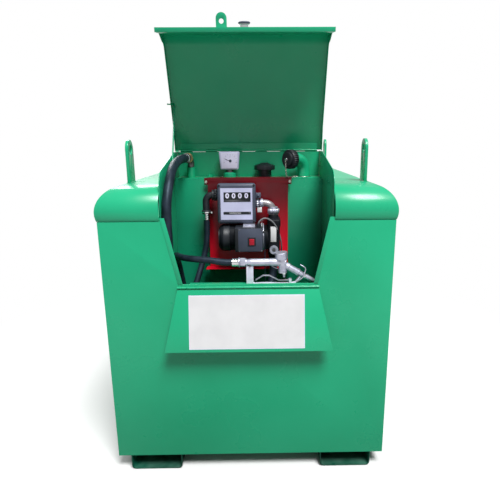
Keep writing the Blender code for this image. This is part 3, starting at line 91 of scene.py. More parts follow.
# Delivery hose: 1 inch bore, 4 metres from the meter to the nozzle
HOSE_RADIUS = 0.0138
OUTLET_X = -0.2
PORT_Y = 0.325
HOSE_START_Z = 1.028
NOZZLE_TAIL_X = -0.0635
NOZZLE_Y = 0.04
HANDLE_Z = 0.894

# The hose's coil, in degrees round its middle: three turns, a layer to each
COIL_X = -0.155
COIL_Y = 0.2
COIL_RADIUS = 0.15
COIL_LIE = 0.4671
COIL_ENTRY = 243
COIL_ENTRY_SWEEP = 45
COIL_EXIT = 78
COIL_END = COIL_EXIT + 3 * 360
COIL_CLIMBS = ((560, 43), (920, 43), (1120, COIL_END - 1120))
COIL_STRIDE = 15

# Where the pump group is
SILL_Z = 0.8
METER_FRONT = 0.27
METER_SCREWS = ((-0.1335, 1.191), (0.0235, 1.191), (-0.1335, 1.024), (0.0235, 1.024))
WHEEL_PITCH = 0.0289
WHEELS = 4
OUTLET_Z = 1.143
INLET_X = 0.115
INLET_Z = 1.104
MOTOR_LEFT = -0.139
MOTOR_Y = 0.303
MOTOR_Z = 0.945
GRILLE_SPOKES = 8
BOX_RIGHT = 0.065
BOX_FRONT = 0.205
BOX_TOP = 1.007
BOX_BOTTOM = 0.897
BOX_SCREWS = ((-0.0425, 0.999), (0.0575, 0.999), (-0.0425, 0.9), (0.0575, 0.9))
SWITCH_X = 0.0135
SWITCH_Z = 0.944
CABLE_X = 0.045
HEAD_FRONT = 0.2435
HEAD_BOLTS = ((0.0, 0.047), (-0.0405, 0.0235), (0.0, -0.047), (-0.0405, -0.0235))
PLUG_X = 0.1139
PLUG_Z = 0.8988
VALVE_X = 0.146
BRACKET_FRONT = 0.3755
BRACKET_BOLTS = {"bracket_left_bolt": -0.203, "bracket_right_bolt": 0.195}
BRACKET_BOLT_Z = 1.199

# Where the shelf fittings are
SHELF_TOP = 1.215
FITTING_Y = 0.45
GAUGE_X = -0.0934
GAUGE_FRONT = 0.428
GAUGE_FOOT = 1.2585
GAUGE_NECK_Z = 1.251
DIAL_X = -0.0885
DIAL_Z = 1.2945
DIAL_RADIUS = 0.0325
DIAL_MARKS = 9
SUCTION_X = -0.281
SUCTION_AXIS_Z = 1.31
SUCTION_TURN = math.radians(258)
FILL_X = 0.267
FILL_AXIS_Z = 1.3015
FILL_TURN = math.radians(221)
CAP_REACH = 0.117
LINK_PITCH = 0.0072

# The lid and the flap as they stand open, and the notice on the flap
LID_OPEN = math.radians(81)
FLAP_LEAN = math.radians(11.398)
FLAP_FACE = (0, -0.0068, 0.8)
NOTICE_LEFT = -0.2475
NOTICE_RIGHT = 0.2328
NOTICE_HIGH = 0.032
NOTICE_LOW = 0.2577

# Radii of the weld beads, and how far those of the feet stop from their ends
EYE_WELD = 0.0022
FOOT_WELD = 0.002
FOOT_WELD_END = 0.012

# Soft lamps: name, place, target and watts
LAMP_SIZE = 8.5
LAMPS = (
    ("key", (4.8, -11.0, 21.5), (0, -0.3, 0.9), 8800),
    ("back_fill", (-6.0, 16.0, 12.5), (0, 0.2, 0.9), 2300),
)
WORLD_LIGHT = 0.18
WORLD_IN_GLOSS = 0.5

# The hose's way from the meter to its coil, and from the coil to the nozzle
DROP_ROUTE = [
    (-0.2003, 0.3255, 0.99),
    (-0.203, 0.324, 0.935),
    (-0.212, 0.315, 0.875),
    (-0.227, 0.295, 0.818),
    (-0.243, 0.269, 0.765),
    (-0.261, 0.247, 0.712),
    (-0.2815, 0.2315, 0.6575),
    (-0.3025, 0.2145, 0.6085),
    (-0.32, 0.19, 0.5635),
    (-0.329, 0.1575, 0.5275),
    (-0.3203, 0.1215, 0.4985),
    (-0.2992, 0.088, 0.4805),
    (-0.2712, 0.0617, 0.471),
    (-0.253, 0.0492, 0.468),
]
RETURN_ROUTE = [
    (-0.2095, 0.3497, 0.5535),
    (-0.25, 0.3485, 0.569),
    (-0.2865, 0.346, 0.599),
    (-0.312, 0.342, 0.644),
    (-0.3255, 0.335, 0.7),
    (-0.332, 0.32, 0.76),
    (-0.334, 0.292, 0.812),
    (-0.334, 0.25, 0.855),
    (-0.33, 0.2025, 0.883),
    (-0.318, 0.1555, 0.897),
    (-0.2965, 0.1145, 0.902),
    (-0.264, 0.0825, 0.9035),
    (-0.2225, 0.0625, 0.904),
    (-0.172, 0.051, 0.902),
    (-0.122, 0.0435, 0.897),
]


def at(x, y, z):
    """A point of the tank's drawing, in the frame that the tank stands in."""
    return Vector((x, TANK_FRONT + y, TANK_FOOT + z))


def drawn(corners):
    """A box's corners in the frame, as places of the drawing."""
    return [corner - at(0, 0, 0) for corner in corners]


def set_camera():
    """The photograph's viewpoint."""
    data = bpy.data.cameras.new("photo_camera")
    data.sensor_width = SENSOR
    data.lens = SENSOR * FOCAL_PIXELS / PHOTO_WIDTH
    data.shift_x = (PHOTO_WIDTH / 2 - CENTRE_PIXEL) / PHOTO_WIDTH
    camera = bpy.data.objects.new("photo_camera", data)
    bpy.context.scene.collection.objects.link(camera)
    turn = Matrix.Rotation(-CAMERA_YAW, 4, "Z")
    turn @= Matrix.Rotation(math.pi / 2 - CAMERA_PITCH, 4, "X")
    turn @= Matrix.Rotation(CAMERA_ROLL, 4, "Z")
    camera.matrix_world = Matrix.Translation(at(*CAMERA_PLACE)) @ turn
    bpy.context.scene.camera = camera


def coil_layer(angle):
    """Height of the hose's middle as it winds: three layers, one step up in each turn."""
    layer = 0.0
    for start, sweep in COIL_CLIMBS:
        layer += min(max((angle - start) / sweep, 0.0), 1.0)
    return COIL_LIE + layer * 2 * HOSE_RADIUS


def coil_points():
    """The turns of the hose on the cabinet floor, from its way in to its way out."""
    beside = COIL_RADIUS + 2 * HOSE_RADIUS + 4 * GAP
    angles = [*range(COIL_ENTRY, COIL_END, COIL_STRIDE), COIL_END, COIL_END + COIL_STRIDE + 1]
    points = []
    for angle in angles:
        inward = min((angle - COIL_ENTRY) / COIL_ENTRY_SWEEP, 1.0)
        inward = inward * inward * (3 - 2 * inward)
        radius = beside + (COIL_RADIUS - beside) * inward
        turn = math.radians(angle)
        x, y = COIL_X + radius * math.cos(turn), COIL_Y + radius * math.sin(turn)
        points.append((x, y, coil_layer(angle)))
    return points


def smooth_curve(name, points, radius, fineness=6):
    """A round bar along points of the drawing, on one smooth open curve."""
    curve = bpy.data.curves.new(name, "CURVE")
    curve.dimensions = "3D"
    curve.bevel_depth = radius
    curve.bevel_resolution = fineness
    curve.resolution_u = 6
    curve.use_fill_caps = True
    spline = curve.splines.new("BEZIER")
    spline.bezier_points.add(len(points) - 1)
    for knot, point in zip(spline.bezier_points, points):
        knot.co = at(*point)
        knot.handle_left_type = "AUTO"
        knot.handle_right_type = "AUTO"
    obj = bpy.data.objects.new(name, curve)
    bpy.context.scene.collection.objects.link(obj)
    return obj


def lay_delivery_hose():
    """The hose from the meter's outlet, round its coil and up to the nozzle."""
    first = (OUTLET_X, PORT_Y, HOSE_START_Z)
    last = (NOZZLE_TAIL_X - GAP, NOZZLE_Y, HANDLE_Z)
    route = [first, (OUTLET_X, PORT_Y, HOSE_START_Z - 0.02), *DROP_ROUTE]
    route += coil_points()
    route += RETURN_ROUTE
    route += [(NOZZLE_TAIL_X - 0.03, NOZZLE_Y + 0.0008, HANDLE_Z + 0.0004), last]
    hose = smooth_curve("delivery_hose", route, HOSE_RADIUS)
    hose.data.materials.append(HOSE_RUBBER)
    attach(hose, "tank")
    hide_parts("delivery_hose_drop", "hose_coil", "delivery_hose_return")
    return hose


def blank_finish(name, colour, roughness, metallic=0.0, specular=0.5):
    """A material with its plain values on the shader's own sockets."""
    material = bpy.data.materials.new(name)
    material.use_nodes = True
    shader = material.node_tree.nodes["Principled BSDF"]
    shader.inputs["Base Color"].default_value = (*colour, 1.0)
    shader.inputs["Roughness"].default_value = roughness
    shader.inputs["Metallic"].default_value = metallic
    shader.inputs["Specular IOR Level"].default_value = specular
    material.diffuse_color = (*colour, 1.0)
    return material


def add_node(owner, kind):
    """A new shader node of a material or the world."""
    return owner.node_tree.nodes.new(f"ShaderNode{kind}")


def wire(owner, source, target):
    """Join one socket to another."""
    owner.node_tree.links.new(source, target)


def own_place(material):
    """Places on the piece itself, so that a pattern stays on it when it moves."""
    return add_node(material, "TexCoord").outputs["Object"]


def cloudy(material, scale, detail=3.0):
    """A noise pattern, so many to the metre."""
    pattern = add_node(material, "TexNoise")
    pattern.inputs["Scale"].default_value = scale
    pattern.inputs["Detail"].default_value = detail
    wire(material, own_place(material), pattern.inputs["Vector"])
    return pattern.outputs["Fac"]


def mix_colour(material, factor, first, second, start=0.35, end=0.65):
    """A colour that wanders from the first to the second as the pattern rises."""
    ramp = add_node(material, "ValToRGB")
    low, high = ramp.color_ramp.elements
    low.position, high.position = start, end
    low.color, high.color = (*first, 1.0), (*second, 1.0)
    wire(material, factor, ramp.inputs["Fac"])
    return ramp.outputs["Color"]


def lay_over(material, factor, under, over):
    """One colour over another, where the factor is high."""
    mix = add_node(material, "Mix")
    mix.data_type = "RGBA"
    wire(material, factor, mix.inputs["Factor"])
    wire(material, under, mix.inputs["A"])
    mix.inputs["B"].default_value = (*over, 1.0)
    return mix.outputs["Result"]


def rescale(owner, value, low, high, start=0.3, end=0.7):
    """A value that goes from low to high as another goes from start to end."""
    spread = add_node(owner, "MapRange")
    spread.inputs["From Min"].default_value = start
    spread.inputs["From Max"].default_value = end
    spread.inputs["To Min"].default_value = low
    spread.inputs["To Max"].default_value = high
    wire(owner, value, spread.inputs["Value"])
    return spread.outputs["Result"]


def reckon(owner, operation, *terms):
    """A Math node whose terms are sockets or plain numbers."""
    node = add_node(owner, "Math")
    node.operation = operation
    for socket, term in zip(node.inputs, terms):
        if isinstance(term, bpy.types.NodeSocket):
            wire(owner, term, socket)
        else:
            socket.default_value = term
    return node.outputs["Value"]


def height_on(material):
    """How high a place is on the tank."""
    split = add_node(material, "SeparateXYZ")
    wire(material, own_place(material), split.inputs["Vector"])
    return split.outputs["Z"]


def colour_by(material, colour):
    """Put a pattern of colour on the shader."""
    wire(material, colour, material.node_tree.nodes["Principled BSDF"].inputs["Base Color"])


def gloss_by(material, value, low, high):
    """Let the roughness wander from low to high with a pattern."""
    shader = material.node_tree.nodes["Principled BSDF"]
    wire(material, rescale(material, value, low, high), shader.inputs["Roughness"])


def raise_by(material, height, distance, strength=1.0):
    """Fine relief. A second call lies over the first."""
    shader = material.node_tree.nodes["Principled BSDF"]
    bump = add_node(material, "Bump")
    bump.inputs["Distance"].default_value = distance
    bump.inputs["Strength"].default_value = strength
    wire(material, height, bump.inputs["Height"])
    for joined in shader.inputs["Normal"].links:
        wire(material, joined.from_socket, bump.inputs["Normal"])
    wire(material, bump.outputs["Normal"], shader.inputs["Normal"])


def facing_up(material, start=0.55, end=0.95):
    """Where the surface lies level, as dust settles."""
    geometry = add_node(material, "NewGeometry")
    split = add_node(material, "SeparateXYZ")
    wire(material, geometry.outputs["Normal"], split.inputs["Vector"])
    return rescale(material, split.outputs["Z"], 0.0, 1.0, start, end)


def thin_lacquer(material):
    """The gloss of the enamel's own skin."""
    shader = material.node_tree.nodes["Principled BSDF"]
    shader.inputs["Coat Weight"].default_value = 0.08
    shader.inputs["Coat Roughness"].default_value = 0.15


def green_enamel(name, dark, light, dusty):
    """Gloss machine enamel: slight orange peel, faint clouding and a little settled dust."""
    material = blank_finish(name, light, 0.3, specular=0.35)
    thin_lacquer(material)
    colour = mix_colour(material, cloudy(material, 2.4, 4.0), dark, light)
    patches = rescale(material, cloudy(material, 14.0, 6.0), 0.0, dusty, 0.35, 0.75)
    dust = reckon(material, "MULTIPLY", facing_up(material), patches)
    colour_by(material, lay_over(material, dust, colour, (0.25, 0.45, 0.36)))
    gloss_by(material, cloudy(material, 7.0, 5.0), 0.24, 0.38)
    raise_by(material, cloudy(material, 30.0, 2.0), 0.0004, 0.25)
    raise_by(material, cloudy(material, 320.0, 2.0), 0.00012, 0.5)
    return material


def painted_shade_enamel():
    """Enamel inside the cabinet, with painted shade that deepens downwards, clouded, and a little
    settled dust.
    """
    shaded_green, lit_green = (0.006, 0.21, 0.11), (0.01, 0.36, 0.18)
    material = green_enamel("cabinet_painted_shade", shaded_green, shaded_green, 0.03)
    # Painted shade: the green is dark low in the cabinet and lighter towards its top edge.
    rise = rescale(material, height_on(material), 0.0, 1.0, 1.03, 1.3)
    lit_share = reckon(material, "MULTIPLY_ADD", cloudy(material, 5.0, 5.0), 0.35, rise)
    colour_by(material, mix_colour(material, lit_share, shaded_green, lit_green, 0.3, 1.25))
    return material


def red_enamel():
    """Deep red enamel of the pump's bracket, with painted light towards its foot and lip and
    painted shade towards the shelf.
    """
    material = blank_finish("red_enamel", (0.32, 0.002, 0.008), 0.38, specular=0.3)
    thin_lacquer(material)
    # Painted light and shade: the mask rises towards the bracket's foot, giving lighter red there
    # and darker red below the shelf.
    drop = rescale(material, height_on(material), 1.0, 0.0, 0.9, 1.2)
    fresh = reckon(material, "MULTIPLY_ADD", cloudy(material, 6.0, 4.0), 0.3, drop)
    dull, bright = (0.09, 0.001, 0.005), (0.62, 0.003, 0.02)
    colour_by(material, mix_colour(material, fresh, dull, bright, 0.1, 1.2))
    gloss_by(material, cloudy(material, 18.0, 4.0), 0.28, 0.42)
    raise_by(material, cloudy(material, 380.0, 2.0), 0.00012, 0.5)
    return material


def cast_iron(name, dark, light, roughness):
    """Painted casting with a fine sand-cast skin."""
    material = blank_finish(name, light, roughness, specular=0.13)
    colour_by(material, mix_colour(material, cloudy(material, 22.0, 5.0), dark, light))
    gloss_by(material, cloudy(material, 60.0, 4.0), roughness - 0.08, roughness + 0.1)
    raise_by(material, cloudy(material, 700.0, 3.0), 0.00018, 0.7)
    return material


def moulding(name, dark, light, roughness, grain=900.0, depth=0.00006):
    """Moulded plastic with a faint spark-eroded grain."""
    material = blank_finish(name, light, roughness, specular=0.35)
    colour_by(material, mix_colour(material, cloudy(material, 12.0, 4.0), dark, light))
    gloss_by(material, cloudy(material, 45.0, 4.0), roughness - 0.06, roughness + 0.07)
    raise_by(material, cloudy(material, grain, 2.0), depth, 0.6)
    return material


def hose_rubber():
    """Black rubber hose: dull, with its cloth-wrapped cover's fine marks and a blue-grey bloom."""
    material = blank_finish("hose_rubber", (0.02, 0.021, 0.026), 0.5, specular=0.4)
    shader = material.node_tree.nodes["Principled BSDF"]
    shader.inputs["Specular Tint"].default_value = (0.62, 0.82, 1.0, 1.0)
    bloom = cloudy(material, 26.0, 6.0)
    colour_by(material, mix_colour(material, bloom, (0.004, 0.008, 0.013), (0.014, 0.021, 0.034)))
    gloss_by(material, cloudy(material, 60.0, 4.0), 0.4, 0.58)
    raise_by(material, cloudy(material, 850.0, 2.0), 0.00012, 0.6)
    return material


def bare_metal(name, dark, light, roughness, scale=60.0, depth=0.00005, bare=1.0):
    """Metal with faint tarnish and fine marks."""
    material = blank_finish(name, light, roughness, bare)
    colour_by(material, mix_colour(material, cloudy(material, 30.0, 5.0), dark, light))
    marks = cloudy(material, scale, 5.0)
    gloss_by(material, marks, roughness - 0.07, roughness + 0.1)
    raise_by(material, marks, depth, 0.5)
    return material


def sand_cast(name, dark, light, roughness, bare):
    """Bare cast metal, with the grain of its mould."""
    return bare_metal(name, dark, light, roughness, 500.0, 0.0001, bare)


HOSE_RUBBER = hose_rubber()
GREEN = green_enamel("green_enamel", (0.009, 0.375, 0.18), (0.014, 0.415, 0.205), 0.06)
# Enamel of the feet, made very dark as painted shade beneath the tank, with heavier settled dust.
FOOT_SHADE_AND_DUST_GREEN = green_enamel("foot_painted_shade_and_dust", (0.003, 0.035, 0.022), (0.005, 0.085, 0.05), 0.2)
# Enamel with painted shade, darker towards the bottom of the cabinet.
PAINTED_SHADE_GREEN = painted_shade_enamel()
RED = red_enamel()
BLACK_CASTING = cast_iron("black_casting", (0.003, 0.004, 0.006), (0.009, 0.011, 0.015), 0.48)
SLATE_CASTING = moulding("slate_casting", (0.05, 0.06, 0.092), (0.07, 0.082, 0.12), 0.45)
BLACK_PLASTIC = moulding("black_plastic", (0.007, 0.009, 0.012), (0.015, 0.018, 0.024), 0.45)
PALE_PANEL = moulding("pale_panel", (0.53, 0.54, 0.75), (0.6, 0.61, 0.82), 0.42, 600.0, 0.00002)
WHITE_PLASTIC = moulding("white_plastic", (0.74, 0.73, 0.8), (0.84, 0.84, 0.9), 0.38)
RED_PLASTIC = moulding("red_plastic", (0.5, 0.012, 0.03), (0.62, 0.02, 0.045), 0.3)
GREY_CABLE = moulding("grey_cable", (0.13, 0.135, 0.15), (0.2, 0.205, 0.22), 0.5)
CAST_ALLOY = sand_cast("cast_alloy", (0.42, 0.43, 0.53), (0.58, 0.59, 0.7), 0.38, 0.7)
MALLEABLE = sand_cast("malleable_iron", (0.24, 0.22, 0.24), (0.4, 0.37, 0.39), 0.36, 0.6)
BRIGHT_ALLOY = sand_cast("bright_alloy", (0.66, 0.67, 0.8), (0.8, 0.81, 0.93), 0.42, 0.15)
CHROME = bare_metal("chrome", (0.66, 0.67, 0.69), (0.78, 0.79, 0.81), 0.16)
DARK_STEEL = bare_metal("dark_steel", (0.1, 0.095, 0.1), (0.2, 0.19, 0.19), 0.42)
ZINC = bare_metal("zinc_plate", (0.42, 0.4, 0.36), (0.6, 0.58, 0.52), 0.3)
BRASS = bare_metal("brass", (0.5, 0.3, 0.09), (0.68, 0.46, 0.18), 0.3)
DIAL_WHITE = moulding("dial_white", (0.72, 0.7, 0.9), (0.8, 0.78, 0.97), 0.35, 500.0, 0.00001)
NOTICE_GREY = moulding(
    "notice_grey", (0.66, 0.66, 0.67), (0.71, 0.71, 0.72), 0.45, 400.0, 0.00001
)
INK_GREY = moulding("ink_grey", (0.03, 0.03, 0.05), (0.06, 0.06, 0.09), 0.5)

FINISHES = {
    "green_paint": GREEN,
    "red_paint": RED,
    "black_casting": BLACK_CASTING,
    "slate_casting": SLATE_CASTING,
    "pale_panel": PALE_PANEL,
    "white_plastic": WHITE_PLASTIC,
    "black_rubber": HOSE_RUBBER,
    "bright_metal": CAST_ALLOY,
    "dark_metal": DARK_STEEL,
    "red_plastic": RED_PLASTIC,
    "grey_cable": GREY_CABLE,
}
SLOT_FOR = {material.name: slot for slot, material in FINISHES.items()}
SLOT_FOR.update(
    chrome="bright_metal",
    brass="bright_metal",
    zinc_plate="bright_metal",
    black_plastic="black_casting",
    dial_white="white_plastic",
    notice_grey="white_plastic",
    ink_grey="dark_metal",
)


def only(obj):
    """Select one object and nothing else."""
    bpy.ops.object.select_all(action="DESELECT")
    obj.select_set(True)
    bpy.context.view_layer.objects.active = obj


def settle(obj):
    """Move an object's place, turn and size into its mesh."""
    only(obj)
    bpy.ops.object.transform_apply(location=True, rotation=True, scale=True)


def open_up(obj, mode="FACE", action="DESELECT"):
    """Into edit mode, with nothing selected, or with all of it."""
    only(obj)
    bpy.ops.object.mode_set(mode="EDIT")
    bpy.ops.mesh.select_mode(type=mode)
    bpy.ops.mesh.select_all(action=action)


def close_up():
    """Back out of edit mode."""
    bpy.ops.object.mode_set(mode="OBJECT")


def close_outwards():
    """Turn all faces outwards, and back out of edit mode."""
    bpy.ops.mesh.select_all(action="SELECT")
    bpy.ops.mesh.normals_make_consistent(inside=False)
    close_up()


def fresh(name, add, **sizes):
    """A new piece from one of Blender's own shapes."""
    bpy.ops.object.select_all(action="DESELECT")
    add(**sizes)
    bpy.context.object.name = name
    return bpy.context.object


def ease_edges(obj, width, steps=2, angle=40):
    """A bevel round the sharp edges, applied."""
    bevel = obj.modifiers.new("Eased edges", "BEVEL")
    bevel.width = width
    bevel.segments = steps
    bevel.limit_method = "ANGLE"
    bevel.angle_limit = math.radians(angle)
    bevel.harden_normals = False
    only(obj)
    bpy.ops.object.modifier_apply(modifier=bevel.name)


def smooth_round(obj, angle=35):
    """Round faces look smooth, and sharper edges stay sharp."""
    only(obj)
    bpy.ops.object.shade_smooth_by_angle(angle=math.radians(angle))


def paint(obj, finish):
    """One finish all over."""
    obj.data.materials.clear()
    obj.data.materials.append(finish)


def skin_of(node, finish=None, edge=0.0, steps=2, angle=35):
    """The solid's own shape in one welded skin, edges eased and round faces smooth."""
    solid = frame["nodes"][node]
    slot = SLOT_OF[node]
    obj = bpy.data.objects.new(f"{node}_skin", solid.data.copy())
    bpy.context.scene.collection.objects.link(obj)
    paint(obj, finish or FINISHES[slot])
    open_up(obj, "VERT", "SELECT")
    bpy.ops.mesh.customdata_custom_splitnormals_clear()
    bpy.ops.mesh.remove_doubles(threshold=0.00002)
    bpy.ops.mesh.dissolve_limited(angle_limit=math.radians(0.5))
    close_up()
    if edge:
        ease_edges(obj, edge, steps)
    smooth_round(obj, angle)
    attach(obj, solid["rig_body"])
    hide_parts(node)
    return obj


def paint_solids():
    """Every solid that shows as it is gets its finish."""
    special = {
        # The inner tank's front wall carries the enamel with painted shade.
        "inner_tank_front_wall": PAINTED_SHADE_GREEN,
        "nozzle_guard": BRIGHT_ALLOY,
        "nozzle_trigger": CAST_ALLOY,
    }
    for name, solid in frame["nodes"].items():
        paint(solid, special.get(name, FINISHES[SLOT_OF[name]]))


def dress_sheet_metal():
    """Folded, rolled and cut sheet, with the eased edges of real plate."""
    skin_of("top_cover", edge=0.0008, angle=30)
    skin_of("bund_front_wall", edge=0.001)
    skin_of("bund_rear_wall", edge=0.001)
    for side in ("left", "right"):
        skin_of(f"bund_{side}_wall", edge=0.0008)
        # The fork channels take the enamel darkened as painted shade beneath the tank.
        skin_of(f"{side}_fork_channel", FOOT_SHADE_AND_DUST_GREEN, edge=0.0008)
        skin_of(f"{side}_seat_strip", edge=0.0004)
        skin_of(f"{side}_cheek", edge=0.0008)
        skin_of(f"cabinet_{side}_wall", edge=0.0008)
        for end in ("front", "rear"):
            skin_of(f"{end}_{side}_lifting_eye", edge=0.0012)
    skin_of("cabinet_sill", edge=0.0008)
    skin_of("fitting_shelf", edge=0.0006)
    skin_of("lid_panel", edge=0.0006)
    skin_of("flap_panel", edge=0.0005)
    skin_of("pump_bracket", edge=0.0006)
    for panel in ("lid", "flap"):
        skin_of(f"{panel}_hinge_leaf", edge=0.0003, steps=1)
        skin_of(f"{panel}_hinge_fixed_leaf", edge=0.0003, steps=1)


def dress_fittings():
    """Pipes, castings and small parts whose solids have the right shape."""
    for name in ("lid_stay", "suction_pipe", "fill_pipe", "suction_hose"):
        skin_of(name, angle=50)
    for name in ("motor_cable", "supply_lead"):
        skin_of(name, angle=70)
    skin_of("suction_elbow", edge=0.0006)
    skin_of("outlet_elbow", BLACK_PLASTIC, angle=50)
    skin_of("inlet_elbow", MALLEABLE, angle=50)
    gauge = skin_of("level_gauge", PALE_PANEL, angle=40)
    gauge.data.materials.append(GREEN)
    open_up(gauge)
    work = bmesh.from_edit_mesh(gauge.data)
    neck = at(0, 0, GAUGE_NECK_Z).z
    for face in work.faces:
        face.select = face.calc_center_median().z < neck
    bmesh.update_edit_mesh(gauge.data)
    gauge.active_material_index = 1
    bpy.ops.object.material_slot_assign()
    close_up()
    skin_of("vent_cap", BLACK_PLASTIC, edge=0.0006)
    skin_of("flow_meter", angle=40)
    skin_of("pump_motor", edge=0.0006)
    skin_of("pump_head", edge=0.0008)
    skin_of("terminal_box", BLACK_PLASTIC, angle=40)
    skin_of("pump_switch", edge=0.0006)
    skin_of("lid_lock", CHROME, edge=0.0006)


def fitted(obj, finish, body="tank"):
    """Give a finished piece its finish and the body that it rides on."""
    paint(obj, finish)
    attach(obj, body)
    return obj


def pick_faces(obj, way):
    """In edit mode, with the outermost faces selected that look one way."""
    open_up(obj)
    work = bmesh.from_edit_mesh(obj.data)
    way = Vector(way).normalized()
    facing = [face for face in work.faces if face.normal.dot(way) > 0.9]
    reach = max(face.calc_center_median().dot(way) for face in facing)
    for face in facing:
        face.select = face.calc_center_median().dot(way) > reach - 0.0002
    bmesh.update_edit_mesh(obj.data)


def sink_face(obj, way, border, depth):
    """Inset the face that looks one way and push its middle in, or out where depth is negative."""
    pick_faces(obj, way)
    bpy.ops.mesh.inset(thickness=border, depth=0)
    back = Vector(way).normalized() * -depth
    bpy.ops.mesh.extrude_region_move(TRANSFORM_OT_translate={"value": back})
    close_up()


def block(name, low, high, finish, edge=0.0, steps=2, sunk=None):
    """A bar or plate between two corners of the drawing, eased, and sunk or raised on one side."""
    low, high = at(*low), at(*high)
    middle, size = (low + high) / 2, high - low
    obj = fresh(name, bpy.ops.mesh.primitive_cube_add, size=1, location=middle, scale=size)
    settle(obj)
    if edge:
        ease_edges(obj, edge, steps)
    smooth_round(obj)
    if sunk:
        sink_face(obj, *sunk)
    return fitted(obj, finish) if finish else obj


def spun(name, foot, way, profile, sides=32, angle=35):
    """A round shape drawn out along its own axis, through (radius, height) steps."""
    radius, height = profile[0]
    disc = bpy.ops.mesh.primitive_circle_add
    obj = fresh(name, disc, vertices=sides, radius=radius, fill_type="NGON")
    open_up(obj, action="SELECT")
    bpy.ops.transform.translate(value=(0, 0, height))
    for wide, high in profile[1:]:
        step = {"value": (0, 0, high - height), "orient_type": "GLOBAL"}
        bpy.ops.mesh.extrude_region_move(TRANSFORM_OT_translate=step)
        grow = wide / radius
        bpy.ops.transform.resize(value=(grow, grow, 1), center_override=(0, 0, high))
        radius, height = wide, high
    close_outwards()
    turn = Vector(way).to_track_quat("Z", "Y").to_matrix().to_4x4()
    obj.matrix_world = Matrix.Translation(at(*foot)) @ turn
    settle(obj)
    smooth_round(obj, angle)
    return obj


def rib(obj, foot, way, rise):
    """Draw every second side face of a round piece outwards, as grip ribs."""
    foot, way = at(*foot), Vector(way).normalized()
    open_up(obj)
    work = bmesh.from_edit_mesh(obj.data)
    across = way.orthogonal().normalized()
    beside = way.cross(across)
    sides = [face for face in work.faces if abs(face.normal.dot(way)) < 0.2]
    broad = max(face.calc_area() for face in sides)
    sides = [face for face in sides if face.calc_area() > broad * 0.6]

    def around(face):
        """Where a face lies round the axis."""
        arm = face.calc_center_median() - foot
        return math.atan2(arm.dot(beside), arm.dot(across))

    for i, face in enumerate(sorted(sides, key=around)):
        face.select = i % 2 == 0
    bmesh.update_edit_mesh(obj.data)
    bpy.ops.mesh.extrude_faces_move(TRANSFORM_OT_shrink_fatten={"value": rise})
    close_up()


def turned(name, foot, way, profile, finish, sides=32, angle=35, ribs=0.0, body="tank"):
    """A round piece, ribbed where it is gripped, with its finish on."""
    obj = spun(name, foot, way, profile, sides, angle)
    if ribs:
        rib(obj, foot, way, ribs)
    return fitted(obj, finish, body)


def copy_to(obj, name, move, finish=None):
    """A copy with its own mesh, shifted by a vector or turned by a matrix, and settled there."""
    twin = obj.copy()
    twin.data = obj.data.copy()
    twin.name = name
    bpy.context.scene.collection.objects.link(twin)
    twin.matrix_world = move if isinstance(move, Matrix) else Matrix.Translation(Vector(move))
    settle(twin)
    return fitted(twin, finish or obj.data.materials[0])


def turn_about(point, axis, angle):
    """A turn about a point of the drawing."""
    middle = Matrix.Translation(at(*point))
    return middle @ Matrix.Rotation(angle, 4, axis) @ middle.inverted()


def hex_bolts(places, way, across, finish):
    """Bolt heads on their washers, modelled once and copied: places has each one's foot."""
    radius = across / math.sqrt(3)
    (name, foot), *others = places.items()
    rest = [(radius * 1.15, 0), (radius * 1.25, 0.0006), (radius * 1.1, 0.0014)]
    hexagon = [(radius, 0), (radius, across * 0.5), (radius * 0.82, across * 0.62)]
    washer = turned(f"{name}_washer", foot, way, rest, finish)
    head = turned(name, Vector(foot) + Vector(way) * 0.0014, way, hexagon, finish, 6, 20)
    for twin, place in others:
        shift = Vector(place) - Vector(foot)
        copy_to(washer, f"{twin}_washer", shift)
        copy_to(head, twin, shift)


def screws(name, places, front, steps, finish, sides):
    """Screws at (x, z) places of a front, modelled once and copied."""
    x, z = places[0]
    first = turned(f"{name}_1", (x, front, z), FORWARD, steps, finish, sides)
    for i, (next_x, next_z) in enumerate(places[1:]):
        copy_to(first, f"{name}_{i + 2}", (next_x - x, 0, next_z - z))


def figures(name, text, tall, centre, finish, bold=0.0, wide=1.0):
    """Numbers that face the front, as thin raised print."""
    obj = fresh(name, bpy.ops.object.text_add)
    obj.data.body = text
    obj.data.size = tall / 0.7
    obj.data.align_x = "CENTER"
    obj.data.align_y = "CENTER"
    obj.data.extrude = 0.00015
    obj.data.offset = bold
    only(obj)
    bpy.ops.object.convert(target="MESH")
    obj = bpy.context.object
    obj.scale = (wide, 1, 1)
    obj.rotation_euler = (math.pi / 2, 0, 0)
    obj.location = at(*centre)
    settle(obj)
    open_up(obj, action="SELECT")
    bpy.ops.mesh.remove_doubles(threshold=0.00001)
    close_outwards()
    return fitted(obj, finish)


def bent_strip(name, places, y_low, y_high, thick, finish):
    """A flat strip folded through (x, z) places of the drawing."""
    obj = fresh(name, bpy.ops.mesh.primitive_plane_add, size=1)
    open_up(obj, "VERT")
    work = bmesh.from_edit_mesh(obj.data)
    for corner in work.verts:
        corner.select = corner.co.x > 0
    bmesh.update_edit_mesh(obj.data)
    bpy.ops.mesh.delete(type="VERT")
    bpy.ops.mesh.select_all(action="SELECT")
    x, z = places[0]
    first = at(x, (y_low + y_high) / 2, z)
    bpy.ops.transform.resize(value=(1, y_high - y_low, 1), center_override=(0, 0, 0))
    bpy.ops.transform.translate(value=first + Vector((0.5, 0, 0)))
    for (x, z), (next_x, next_z) in zip(places, places[1:]):
        step = {"value": (next_x - x, 0, next_z - z), "orient_type": "GLOBAL"}
        bpy.ops.mesh.extrude_edges_move(TRANSFORM_OT_translate=step)
    close_outwards()
    wall = obj.modifiers.new("Thickness", "SOLIDIFY")
    wall.thickness = thick
    wall.offset = 0
    only(obj)
    bpy.ops.object.modifier_apply(modifier=wall.name)
    ease_edges(obj, thick * 0.25, 1, 60)
    smooth_round(obj, 40)
    return fitted(obj, finish)


